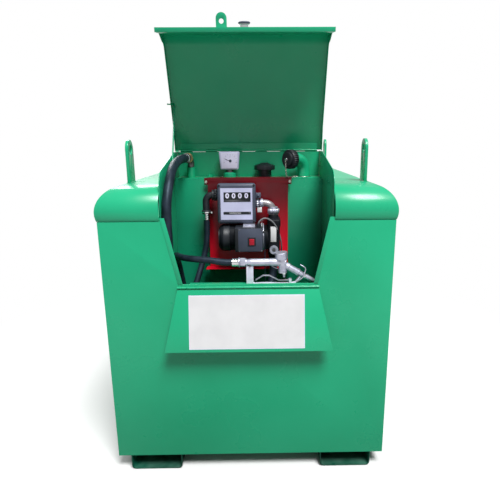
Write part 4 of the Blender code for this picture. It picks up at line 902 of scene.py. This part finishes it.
def dress_counter():
    """The meter's counter window, digit wheels, totaliser and cover screws."""
    face_y = METER_FRONT + GAP
    rim = (FORWARD, 0.0022, 0.0004)
    low, high = (-0.1132, face_y - 0.0011, 1.1175), (0.0096, face_y, 1.1607)
    block("counter_window", low, high, BLACK_PLASTIC, 0.0004, sunk=rim)
    low, high = (-0.1098, face_y - 0.0012, 1.1285), (-0.0834, face_y - 0.0006, 1.158)
    wheel = block("digit_wheel", low, high, BLACK_PLASTIC, 0.0004)
    for i in range(1, WHEELS):
        copy_to(wheel, f"digit_wheel_{i + 1}", (WHEEL_PITCH * i, 0, 0))
    middle = (-0.0966, face_y - 0.0014, 1.1443)
    digit = figures("counter_digit_1", "0", 0.0215, middle, DIAL_WHITE, 0.0012, 1.05)
    for i in range(1, WHEELS):
        copy_to(digit, f"counter_digit_{i + 1}", (WHEEL_PITCH * i, 0, 0))
    low, high = (-0.1152, face_y - 0.001, 1.0595), (0.0105, face_y, 1.0718)
    block("totaliser_window", low, high, BLACK_PLASTIC, 0.0003)
    middle = (-0.062, face_y - 0.0012, 1.0656)
    figures("totaliser_digits", "0000000", 0.0062, middle, NOTICE_GREY, 0.0, 1.7)
    steps = [(0.0032, 0), (0.0032, 0.0012), (0.0024, 0.0018)]
    turned("reset_knob_screw", (0.003, face_y, 1.0656), FORWARD, steps, DARK_STEEL, 20)
    steps = [(0.0055, 0), (0.0055, 0.0007), (0.0048, 0.0012), (0.0026, 0.0012), (0.0026, 0.0002)]
    screws("meter_screw", METER_SCREWS, METER_FRONT + 0.0004, steps, BLACK_PLASTIC, 24)


def dress_ports():
    """The couplings at the meter's outlet and inlet, and what hangs beside them."""
    steps = [(0.0235, 0), (0.0255, 0.0015), (0.0255, 0.0125), (0.0225, 0.0135), (0.0225, 0.016),
             (0.0255, 0.017), (0.0255, 0.022), (0.0235, 0.0235)]
    foot = (-0.1475, PORT_Y, OUTLET_Z)
    turned("outlet_union_nut", foot, LEFT, steps, BLACK_PLASTIC, ribs=0.002)
    steps = [(0.0195, 0), (0.022, 0.002), (0.022, 0.014), (0.0185, 0.017)]
    turned("outlet_collar", (OUTLET_X, PORT_Y, 1.0565), UP, steps, BLACK_PLASTIC, 36)
    steps = [(0.0222, 0), (0.0236, 0.0004), (0.0236, 0.0066), (0.0222, 0.007)]
    turned("outlet_clamp", (OUTLET_X, PORT_Y, 1.0605), UP, steps, CHROME, 40)
    low, high = (-0.1775, 0.306, 1.0595), (-0.1705, 0.326, 1.0685)
    block("outlet_clamp_housing", low, high, CHROME, 0.0012)
    steps = [(0.0158, 0), (0.0164, 0.0008), (0.0164, 0.008), (0.0158, 0.0092), (0.0164, 0.0104),
             (0.0164, 0.0176), (0.0158, 0.0188), (0.0164, 0.02), (0.0164, 0.027), (0.0155, 0.028)]
    turned("outlet_ferrule", (OUTLET_X, PORT_Y, 1.0282), UP, steps, CHROME, 36)
    steps = [(0.0205, 0), (0.0222, 0.0012), (0.0222, 0.0135), (0.0205, 0.0148)]
    foot = (0.0335, PORT_Y, INLET_Z)
    turned("inlet_union_ring", foot, RIGHT, steps, CAST_ALLOY, ribs=0.0012)
    steps = [(0.019, 0), (0.0202, 0.0012), (0.019, 0.0024), (0.0202, 0.0036), (0.019, 0.0048),
             (0.0202, 0.006), (0.019, 0.0072), (0.0208, 0.0084), (0.0208, 0.0165),
             (0.0195, 0.0185)]
    turned("inlet_thread", (0.0485, PORT_Y, INLET_Z), RIGHT, steps, CAST_ALLOY)
    low, high = (0.0325, 0.3, 1.1295), (0.0565, 0.324, 1.1535)
    block("meter_lug", low, high, SLATE_CASTING, 0.003, 3, (FORWARD, 0.004, -0.002))
    low, high = (0.0404, 0.309, 1.0625), (0.0609, 0.3102, 1.0865)
    block("blank_tag", low, high, NOTICE_GREY, 0.0004)
    drop = [(0.0506, 0.3096, 1.085), (0.0506, 0.3045, 1.092), (0.0506, 0.303, 1.104)]
    fitted(smooth_curve("tag_wire", drop, 0.0006, 3), DARK_STEEL)
    steps = [(0.0245, 0), (0.0262, 0.0016), (0.0262, 0.0225), (0.0245, 0.0242)]
    foot = (INLET_X, PORT_Y, 1.0545)
    turned("inlet_union_nut", foot, UP, steps, CAST_ALLOY, 28, ribs=0.0016)
    steps = [(0.0185, 0), (0.0205, 0.0012), (0.0205, 0.0065), (0.0175, 0.0085)]
    turned("inlet_elbow_shoulder", (INLET_X, PORT_Y, 1.0785), UP, steps, CAST_ALLOY)


def dress_motor():
    """The motor's flange and fan cover, and the foot of the meter on top of it."""
    steps = [(0.0635, 0), (0.0652, 0.0012), (0.0652, 0.0105), (0.0635, 0.0117)]
    turned("motor_flange", (0.0578, MOTOR_Y, MOTOR_Z), RIGHT, steps, CAST_ALLOY, 64)
    steps = [(0.0605, 0), (0.0635, 0.0008), (0.0635, 0.0032), (0.0623, 0.004), (0.0623, 0.028),
             (0.063, 0.029), (0.0623, 0.03), (0.0617, 0.0335)]
    turned("fan_cover_band", (-0.0885, MOTOR_Y, MOTOR_Z), LEFT, steps, BLACK_PLASTIC, 64)
    steps = [(0.048, 0), (0.048, 0.0068), (0.0455, 0.0075), (0.0428, 0.0068), (0.0428, 0.0045)]
    foot = (MOTOR_LEFT + 0.0055, MOTOR_Y, MOTOR_Z)
    turned("fan_grille_rim", foot, LEFT, steps, BLACK_PLASTIC, 48)
    low = (-0.1408, MOTOR_Y - 0.0425, MOTOR_Z - 0.0018)
    high = (-0.1385, MOTOR_Y + 0.0425, MOTOR_Z + 0.0018)
    spoke = block("fan_grille_spoke", low, high, BLACK_PLASTIC, 0.0006)
    for i in range(1, GRILLE_SPOKES):
        turn = turn_about((0, MOTOR_Y, MOTOR_Z), "X", -math.pi * i / GRILLE_SPOKES)
        copy_to(spoke, f"fan_grille_spoke_{i + 1}", turn)
    low, high = (-0.0255, 0.216, 1.0072), (0.0285, 0.325, 1.0147)
    block("meter_foot", low, high, CAST_ALLOY, 0.001, sunk=(UP, 0.004, -0.0003))


def dress_terminal_box():
    """The terminal box's lid, screws, switch surround and cable glands."""
    low = (-0.0475, BOX_FRONT - 0.0014, BOX_BOTTOM + 0.0025)
    high = (BOX_RIGHT - 0.0025, BOX_FRONT + 0.001, BOX_TOP - 0.0025)
    block("terminal_box_lid", low, high, SLATE_CASTING, 0.0008)
    steps = [(0.0032, 0), (0.0032, 0.0006), (0.0026, 0.0012), (0.0012, 0.0012), (0.0012, 0.0005)]
    screws("box_screw", BOX_SCREWS, BOX_FRONT - 0.0013, steps, DARK_STEEL, 20)
    low = (SWITCH_X - 0.0185, BOX_FRONT - 0.0022, SWITCH_Z - 0.0205)
    high = (SWITCH_X + 0.0185, BOX_FRONT - 0.0012, SWITCH_Z + 0.0205)
    block("switch_surround", low, high, BLACK_PLASTIC, 0.0004)
    steps = [(0.0095, 0), (0.0095, 0.005), (0.0078, 0.0055), (0.0082, 0.0075), (0.0085, 0.014),
             (0.0062, 0.019), (0.0042, 0.0215)]
    foot = (CABLE_X, BOX_FRONT + 0.023, BOX_TOP)
    turned("motor_cable_gland", foot, UP, steps, BLACK_PLASTIC, 12)
    steps = [(0.0055, 0), (0.0055, 0.007), (0.0042, 0.0085), (0.0042, 0.016), (0.003, 0.0175)]
    turned("cable_clip_screw", (0.0585, BOX_FRONT + 0.04, BOX_TOP), UP, steps, CHROME, 16)
    steps = [(0.0062, 0), (0.0062, 0.0035), (0.0052, 0.004), (0.0052, 0.0075), (0.0032, 0.011),
             (0.0026, 0.0125)]
    foot = (BOX_RIGHT - GAP, BOX_FRONT + 0.017, BOX_TOP - 0.022)
    turned("supply_lead_gland", foot, RIGHT, steps, BLACK_PLASTIC, 12)


def dress_head():
    """The pump head's front, crown, blank label, bypass plug and bolts."""
    low, high = (0.0885, HEAD_FRONT, 0.866), (0.1425, 0.349, 1.036)
    block("head_front_housing", low, high, BLACK_CASTING, 0.006, 3)
    low, high = (0.0865, 0.2505, 1.004), (0.1455, 0.352, 1.0365)
    block("head_crown", low, high, BLACK_CASTING, 0.003)
    low, high = (0.1, 0.2422, 0.9345), (0.1258, 0.2436, 1.0065)
    block("blank_head_label", low, high, NOTICE_GREY, 0.0004)
    places = ((0.1129, 0.9385), (0.1129, 1.004))
    screws("label_pin", places, 0.2424, [(0.0013, 0), (0.001, 0.0006)], DARK_STEEL, 12)
    steps = [(0.0205, 0), (0.0205, 0.0125), (0.0192, 0.0145), (0.0125, 0.0145), (0.0118, 0.0125),
             (0.0095, 0.0125)]
    turned("head_bypass_plug", (PLUG_X, HEAD_FRONT, PLUG_Z), FORWARD, steps, CAST_ALLOY, 40)
    steps = [(0.0092, 0), (0.0092, 0.0006), (0.0062, 0.0008), (0.0062, 0.0002)]
    foot = (PLUG_X, HEAD_FRONT - 0.0125, PLUG_Z)
    turned("head_bypass_socket", foot, FORWARD, steps, DARK_STEEL, 6, 20)
    bolts = {
        f"head_bolt_{i + 1}": (0.1199, MOTOR_Y + y, MOTOR_Z + z)
        for i, (y, z) in enumerate(HEAD_BOLTS)
    }
    hex_bolts(bolts, RIGHT, 0.009, DARK_STEEL)


def dress_gauge():
    """The level gauge's dial, with its pointer, marks and figures, and its neck ring."""
    low, high = (-0.1345, GAUGE_FRONT - 0.0009, GAUGE_FOOT), (-0.0523, GAUGE_FRONT + GAP, 1.3335)
    face = block("dial_face", low, high, DIAL_WHITE, 0.0008)
    open_up(face, "VERT")
    work = bmesh.from_edit_mesh(face.data)
    waist = at(0, 0, 1.2965).z
    for corner in work.verts:
        corner.select = corner.co.z < waist
    bmesh.update_edit_mesh(face.data)
    centre = at(GAUGE_X, GAUGE_FRONT, GAUGE_FOOT)
    bpy.ops.transform.resize(value=(0.9, 1, 1), center_override=centre)
    close_up()
    hub = (DIAL_X, GAUGE_FRONT - 0.0008, DIAL_Z)
    steps = [(0.0065, 0), (0.0065, 0.0012), (0.0045, 0.0022)]
    turned("dial_hub", hub, FORWARD, steps, SLATE_CASTING, 24)
    places = [(0.004, -0.0012), (-0.011, 0.0028), (-0.0245, 0.0095)]
    places = [(DIAL_X + x, DIAL_Z + z) for x, z in places]
    ahead = (GAUGE_FRONT - 0.0022, GAUGE_FRONT - 0.0014)
    bent_strip("dial_pointer", places, *ahead, 0.0022, INK_GREY)
    ahead = (GAUGE_FRONT - 0.0013, GAUGE_FRONT - 0.0007)
    marks = []
    for i, length in enumerate((0.006, 0.0035)):
        turn = math.radians(180 - 22.5 * i)
        x, z = math.cos(turn), math.sin(turn)
        reaches = (DIAL_RADIUS - length, DIAL_RADIUS)
        ends = [(DIAL_X + x * reach, DIAL_Z + z * reach) for reach in reaches]
        marks.append(bent_strip(f"dial_mark_{i + 1}", ends, *ahead, 0.0009, INK_GREY))
    for i in range(2, DIAL_MARKS):
        turn = turn_about((DIAL_X, 0, DIAL_Z), "Y", math.radians(22.5 * (i - i % 2)))
        copy_to(marks[i % 2], f"dial_mark_{i + 1}", turn)
    for name, text, x, z in (
        ("dial_low_figure", "0", -0.0295, -0.0075),
        ("dial_middle_figure", "5", -0.0005, 0.0195),
        ("dial_high_figure", "10", 0.0285, -0.0075),
    ):
        figures(name, text, 0.0055, (DIAL_X + x, GAUGE_FRONT - 0.0011, DIAL_Z + z), INK_GREY)
    steps = [(0.0185, 0), (0.0205, 0.001), (0.0205, 0.0055), (0.0185, 0.0068), (0.0185, 0.009),
             (0.0205, 0.01), (0.0205, 0.0118)]
    turned("gauge_neck_ring", (GAUGE_X, FITTING_Y, 1.2395), UP, steps, DARK_STEEL)


def dress_shelf():
    """The shelf's plug, and the rings and clamp where the suction hose leaves its elbow."""
    steps = [(0.0125, 0), (0.0125, 0.006), (0.0105, 0.0068), (0.0105, 0.0115), (0.009, 0.013)]
    turned("shelf_plug", (-0.1913, FITTING_Y, 1.2152), UP, steps, GREEN, 8, 25)
    way = Vector((math.cos(SUCTION_TURN), math.sin(SUCTION_TURN), 0))
    elbow = Vector((SUCTION_X, FITTING_Y, SUCTION_AXIS_Z))
    steps = [(0.0215, 0), (0.0232, 0.0008), (0.0232, 0.0038), (0.0215, 0.0046)]
    band = turned("suction_thread_1", elbow + way * 0.031, way, steps, BRASS, 36)
    copy_to(band, "suction_thread_2", way * 0.0065, DARK_STEEL)
    copy_to(band, "suction_thread_3", way * 0.013, BRASS)
    steps = [(0.0202, 0), (0.0211, 0.0004), (0.0211, 0.0086), (0.0202, 0.009)]
    turned("suction_clamp", elbow + way * 0.0615, way, steps, CHROME, 40)


def dress_fill_cap():
    """The filler's ribbed cap with its rivets and pin, and the chain that keeps it."""
    way = Vector((math.cos(FILL_TURN), math.sin(FILL_TURN), 0))
    cap = Vector((FILL_X, FITTING_Y, FILL_AXIS_Z)) + way * CAP_REACH
    steps = [(0.0415, 0), (0.0435, 0.0015), (0.0435, 0.0275), (0.0415, 0.031), (0.034, 0.0325),
             (0.0325, 0.0405), (0.03, 0.042)]
    grip = turned("fill_cap_grip", cap - way * 0.042, way, steps, BLACK_PLASTIC, 60, 25, 0.0016)
    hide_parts("fill_cap")
    steps = [(0.0034, 0), (0.0034, 0.001), (0.0022, 0.0019)]
    for i in range(3):
        turn = math.radians(-22 + 22 * i)
        side = way.cross(Vector(UP)) * math.cos(turn) + Vector(UP) * math.sin(turn)
        foot = cap - way * 0.022 + side * 0.0443
        turned(f"cap_rivet_{i + 1}", foot, side, steps, CHROME, 12)
    steps = [(0.0062, 0), (0.0062, 0.002), (0.0035, 0.003), (0.0035, 0.0065), (0.005, 0.0075),
             (0.005, 0.0095)]
    turned("cap_pin", cap - way * 0.001, way, steps, CHROME, 20)
    ahead = cap + way * 0.0068
    link_chain([
        ahead + Vector((0, 0, -0.004)),
        ahead + Vector((0.0015, -0.0005, -0.03)),
        ahead + Vector((0.003, -0.0005, -0.06)),
        Vector((ahead.x + 0.006, ahead.y + 0.001, SHELF_TOP + 0.0085)),
        Vector((ahead.x + 0.016, ahead.y + 0.008, SHELF_TOP + 0.0042)),
        Vector((ahead.x + 0.04, 0.4065, SHELF_TOP + 0.004)),
        Vector((0.234, 0.4115, SHELF_TOP + 0.004)),
    ])


def torus(name, centre, radius, wire_radius, segments, stretch):
    """A wire ring, drawn longer or narrower in edit mode."""
    round_steps, wire_steps = segments
    obj = fresh(
        name,
        bpy.ops.mesh.primitive_torus_add,
        major_segments=round_steps,
        minor_segments=wire_steps,
        major_radius=radius,
        minor_radius=wire_radius,
        location=centre,
    )
    settle(obj)
    open_up(obj, action="SELECT")
    bpy.ops.transform.resize(value=stretch, center_override=centre)
    close_up()
    smooth_round(obj, 60)
    return obj


def link_chain(route):
    """Twisted links along a route, one model copied, and the ring that they end in."""
    lengths = [0.0]
    for first, second in zip(route, route[1:]):
        lengths.append(lengths[-1] + (second - first).length)
    link = torus("chain_link", Vector((0, 0, 0)), 0.0034, 0.0009, (16, 6), (1.42, 0.86, 1))
    for i in range(int(lengths[-1] / LINK_PITCH)):
        reach = LINK_PITCH * (i + 0.5)
        leg = max(j for j in range(len(route) - 1) if lengths[j] <= reach)
        share = (reach - lengths[leg]) / (lengths[leg + 1] - lengths[leg])
        middle = route[leg].lerp(route[leg + 1], share)
        along = (route[leg + 1] - route[leg]).normalized()
        turn = along.to_track_quat("X", "Z").to_matrix().to_4x4()
        twist = Matrix.Rotation(math.radians(50 if i % 2 else -40), 4, "X")
        place = Matrix.Translation(at(*middle)) @ turn @ twist
        copy_to(link, f"chain_link_{i + 1}", place, ZINC)
    bpy.data.objects.remove(link)
    centre = at(FILL_X, FITTING_Y, SHELF_TOP + 0.0024)
    fitted(torus("chain_ring", centre, 0.0335, 0.0016, (48, 8), (1.03, 1, 1)), ZINC)


def dress_nozzle():
    """Ferrule, swivel nut, cap, plunger, spout rings and the hook in front of the spout."""
    steps = [(0.0152, 0), (0.0171, 0.0008), (0.0171, 0.0095), (0.0166, 0.0105), (0.0171, 0.0115),
             (0.0171, 0.0195), (0.0166, 0.0205), (0.0171, 0.0215), (0.0171, 0.027),
             (0.0155, 0.0285)]
    foot = (NOZZLE_TAIL_X - 0.0045, NOZZLE_Y, HANDLE_Z)
    turned("nozzle_ferrule", foot, RIGHT, steps, CHROME, 40)
    steps = [(0.0125, 0), (0.0205, 0.0008), (0.0205, 0.0052), (0.0125, 0.006)]
    turned("nozzle_collar", (-0.0405, NOZZLE_Y, HANDLE_Z), RIGHT, steps, CAST_ALLOY, 40)
    steps = [(0.0165, 0), (0.0188, 0.0018), (0.0188, 0.0215), (0.0165, 0.0235)]
    foot = (-0.0345, NOZZLE_Y, HANDLE_Z)
    turned("nozzle_swivel_nut", foot, RIGHT, steps, CAST_ALLOY, 6, 20)
    lean = Vector((-0.003, 0, 0.028)).normalized()
    top = Vector((VALVE_X - 0.0088, NOZZLE_Y, HANDLE_Z + 0.0415))
    steps = [(0.0245, 0), (0.0262, 0.0014), (0.0262, 0.025), (0.0245, 0.0268), (0.021, 0.0268),
             (0.0205, 0.0262)]
    turned("nozzle_cap_rim", top - lean * 0.0265, lean, steps, CAST_ALLOY, 48)
    steps = [(0.0186, 0), (0.0192, 0.001), (0.0192, 0.0035), (0.0165, 0.0048), (0.0165, 0.012),
             (0.0125, 0.0138)]
    foot = (VALVE_X - 0.002, NOZZLE_Y, HANDLE_Z - 0.0325)
    turned("valve_bonnet", foot, DOWN, steps, CAST_ALLOY, 36)
    steps = [(0.0085, 0), (0.0085, 0.0075), (0.0068, 0.0092)]
    foot = (VALVE_X + 0.004, NOZZLE_Y, HANDLE_Z - 0.0446)
    turned("plunger_guide", foot, DOWN, steps, CHROME, 24)
    start = Vector((VALVE_X + 0.0228, NOZZLE_Y, SILL_Z + 0.072))
    end = Vector((0.277, NOZZLE_Y, SILL_Z + 0.0105))
    along = (end - start).normalized()
    steps = [(0.0152, 0), (0.0158, 0.001), (0.0158, 0.012), (0.0138, 0.0135), (0.0138, 0.052),
             (0.0152, 0.053), (0.0152, 0.0605), (0.0128, 0.062)]
    turned("spout_sleeve", start - along * 0.012, along, steps, CAST_ALLOY, 36)
    steps = [(0.0112, 0), (0.0122, 0.0006), (0.0122, 0.005), (0.0112, 0.0056)]
    turned("spout_ring", start + along * 0.075, along, steps, CHROME)
    places = [(0.2, 0.8105), (0.2208, 0.8256), (0.2303, 0.8336), (0.2394, 0.8654),
              (0.2366, 0.8741), (0.2162, 0.8874)]
    bent_strip("hook_strip", places, 0.0195, 0.0245, 0.0042, CAST_ALLOY)
    places = [(0.0975, 0.8775), (0.108, 0.8722), (0.1235, 0.8655)]
    sides = (NOZZLE_Y - 0.0055, NOZZLE_Y + 0.0055)
    bent_strip("latch_tab", places, *sides, 0.0022, CAST_ALLOY)
    hex_bolts({"guard_bolt": (0.0065, 0.0312, 0.8815)}, FORWARD, 0.0065, DARK_STEEL)


def hang_notice():
    """The blank notice and its border, flat on the hanging flap."""
    out = Vector((0, -math.cos(FLAP_LEAN), math.sin(FLAP_LEAN)))
    face = at(*FLAP_FACE) - out * 0.0007
    hang = Matrix.Translation(face) @ Matrix.Rotation(-FLAP_LEAN, 4, "X")
    hang @= Matrix.Translation(-at(0, 0, 0))
    for name, border, lift, finish in (
        ("blank_notice_border", 0.0, 0.0004, DIAL_WHITE),
        ("blank_notice", 0.0028, 0.0008, NOTICE_GREY),
    ):
        low = (NOTICE_LEFT + border, -lift, -NOTICE_LOW + border)
        high = (NOTICE_RIGHT - border, GAP, -NOTICE_HIGH - border)
        plate = block(name, low, high, None, 0.00015, 1)
        plate.matrix_world = hang
        settle(plate)
        fitted(plate, finish, "flap")


def dress_cabinet():
    """The lid's lock and knob, and the bracket's bolts."""
    low, high = drawn(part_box("lid_lock"))
    middle = (low + high) / 2
    up = Vector((0, -math.cos(LID_OPEN), math.sin(LID_OPEN)))
    steps = [(0.0155, 0), (0.0165, 0.001), (0.0165, 0.011), (0.0145, 0.0125)]
    turned("lock_barrel", middle, up, steps, CHROME, body="lid")
    steps = [(0.0215, 0), (0.0235, 0.0012), (0.0235, 0.006), (0.021, 0.0085), (0.012, 0.0098)]
    foot = middle + up * 0.0155
    turned("lock_knob", foot, up, steps, SLATE_CASTING, ribs=0.0008, body="lid")
    steps = [(0.0205, 0), (0.0215, 0.0006), (0.0215, 0.0026), (0.0205, 0.0032)]
    turned("lock_collar", middle + up * 0.0124, up, steps, CHROME, body="lid")
    bolts = {name: (x, BRACKET_FRONT, BRACKET_BOLT_Z) for name, x in BRACKET_BOLTS.items()}
    hex_bolts(bolts, FORWARD, 0.0095, ZINC)


def run_weld(name, points, radius):
    """A painted weld bead: a bar along the joint, with the ripples of its runs."""
    bead = smooth_curve(name, points, radius, 2)
    only(bead)
    bpy.ops.object.convert(target="MESH")
    bead = bpy.context.object
    ripple = bead.modifiers.new("Ripples", "DISPLACE")
    texture = bpy.data.textures.new(f"{name}_ripple", "CLOUDS")
    texture.noise_scale = 0.006
    ripple.texture = texture
    ripple.texture_coords = "LOCAL"
    ripple.strength = radius * 0.5
    bpy.ops.object.modifier_apply(modifier=ripple.name)
    smooth_round(bead, 60)
    fitted(bead, GREEN)


def dress_welds():
    """Beads beside the lifting eyes and along the feet."""
    for side in ("left", "right"):
        for end in ("front", "rear"):
            low, high = drawn(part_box(f"{end}_{side}_lifting_eye"))
            for face, x in (("inner", low.x), ("outer", high.x)):
                points = [(x, low.y + (high.y - low.y) * i / 9, low.z + 0.0012) for i in range(10)]
                run_weld(f"{end}_{side}_eye_{face}_weld", points, EYE_WELD)
    for side in ("left", "right"):
        low, high = drawn(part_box(f"{side}_fork_channel"))
        start, length = low.y + FOOT_WELD_END, high.y - low.y - 2 * FOOT_WELD_END
        for edge, x in (("inner", low.x), ("outer", high.x)):
            points = [(x, start + length * i / 40, high.z - 0.0014) for i in range(41)]
            run_weld(f"{side}_foot_{edge}_weld", points, FOOT_WELD)


def pale_floor():
    """A plain pale floor that keeps the tank's shadow and fades out to white."""
    disc = bpy.ops.mesh.primitive_circle_add
    floor = fresh("studio_floor", disc, vertices=96, radius=14, fill_type="NGON")
    material = bpy.data.materials.new("studio_floor")
    material.use_nodes = True
    shader = material.node_tree.nodes["Principled BSDF"]
    shader.inputs["Roughness"].default_value = 0.9
    shader.inputs["Specular IOR Level"].default_value = 0.0
    rays = add_node(material, "LightPath")
    seen = add_node(material, "Mix")
    seen.data_type = "RGBA"
    seen.inputs["A"].default_value = (0.27, 0.27, 0.27, 1.0)
    seen.inputs["B"].default_value = (0.72, 0.72, 0.72, 1.0)
    wire(material, rays.outputs["Is Camera Ray"], seen.inputs["Factor"])
    wire(material, seen.outputs["Result"], shader.inputs["Base Color"])
    span = add_node(material, "VectorMath")
    span.operation = "LENGTH"
    wire(material, own_place(material), span.inputs[0])
    far = rescale(material, span.outputs["Value"], 0.0, 1.0, 1.1, 2.3)
    mirrored = rays.outputs["Is Glossy Ray"]
    either = reckon(material, "MAXIMUM", rays.outputs["Is Camera Ray"], mirrored)
    white = add_node(material, "Emission")
    fade = add_node(material, "MixShader")
    wire(material, reckon(material, "MULTIPLY", far, either), fade.inputs["Fac"])
    wire(material, shader.outputs["BSDF"], fade.inputs[1])
    wire(material, white.outputs["Emission"], fade.inputs[2])
    output = material.node_tree.nodes["Material Output"]
    wire(material, fade.outputs["Shader"], output.inputs["Surface"])
    floor.data.materials.append(material)


def studio_world():
    """Soft light from all round; the camera sees plain white, and shiny parts a softer one."""
    world = bpy.data.worlds.new("studio")
    bpy.context.scene.world = world
    world.use_nodes = True
    background = world.node_tree.nodes["Background"]
    background.inputs["Color"].default_value = (1.0, 1.0, 1.0, 1.0)
    rays = add_node(world, "LightPath").outputs
    seen = reckon(world, "MAXIMUM", rays["Is Camera Ray"], rays["Is Transmission Ray"])
    gloss = reckon(world, "MULTIPLY", rays["Is Glossy Ray"], WORLD_IN_GLOSS)
    level = rescale(world, reckon(world, "MAXIMUM", seen, gloss), WORLD_LIGHT, 1.0, 0.0, 1.0)
    wire(world, level, background.inputs["Strength"])


def light_studio():
    """The world's soft light, and two broad lamps high in front and behind."""
    studio_world()
    for name, place, target, watts in LAMPS:
        data = bpy.data.lights.new(name, "AREA")
        data.shape = "SQUARE"
        data.size = LAMP_SIZE
        data.energy = watts
        lamp = bpy.data.objects.new(name, data)
        bpy.context.scene.collection.objects.link(lamp)
        lamp.location = place
        aim = Vector(target) - Vector(place)
        lamp.rotation_euler = aim.to_track_quat("-Z", "Y").to_euler()
    bpy.context.scene.view_settings.view_transform = "Standard"


set_camera()
delivery_hose = lay_delivery_hose()
paint_solids()
dress_sheet_metal()
dress_fittings()
dress_counter()
dress_ports()
dress_motor()
dress_terminal_box()
dress_head()
dress_gauge()
dress_shelf()
dress_fill_cap()
dress_nozzle()
hang_notice()
dress_cabinet()
dress_welds()
pale_floor()
light_studio()
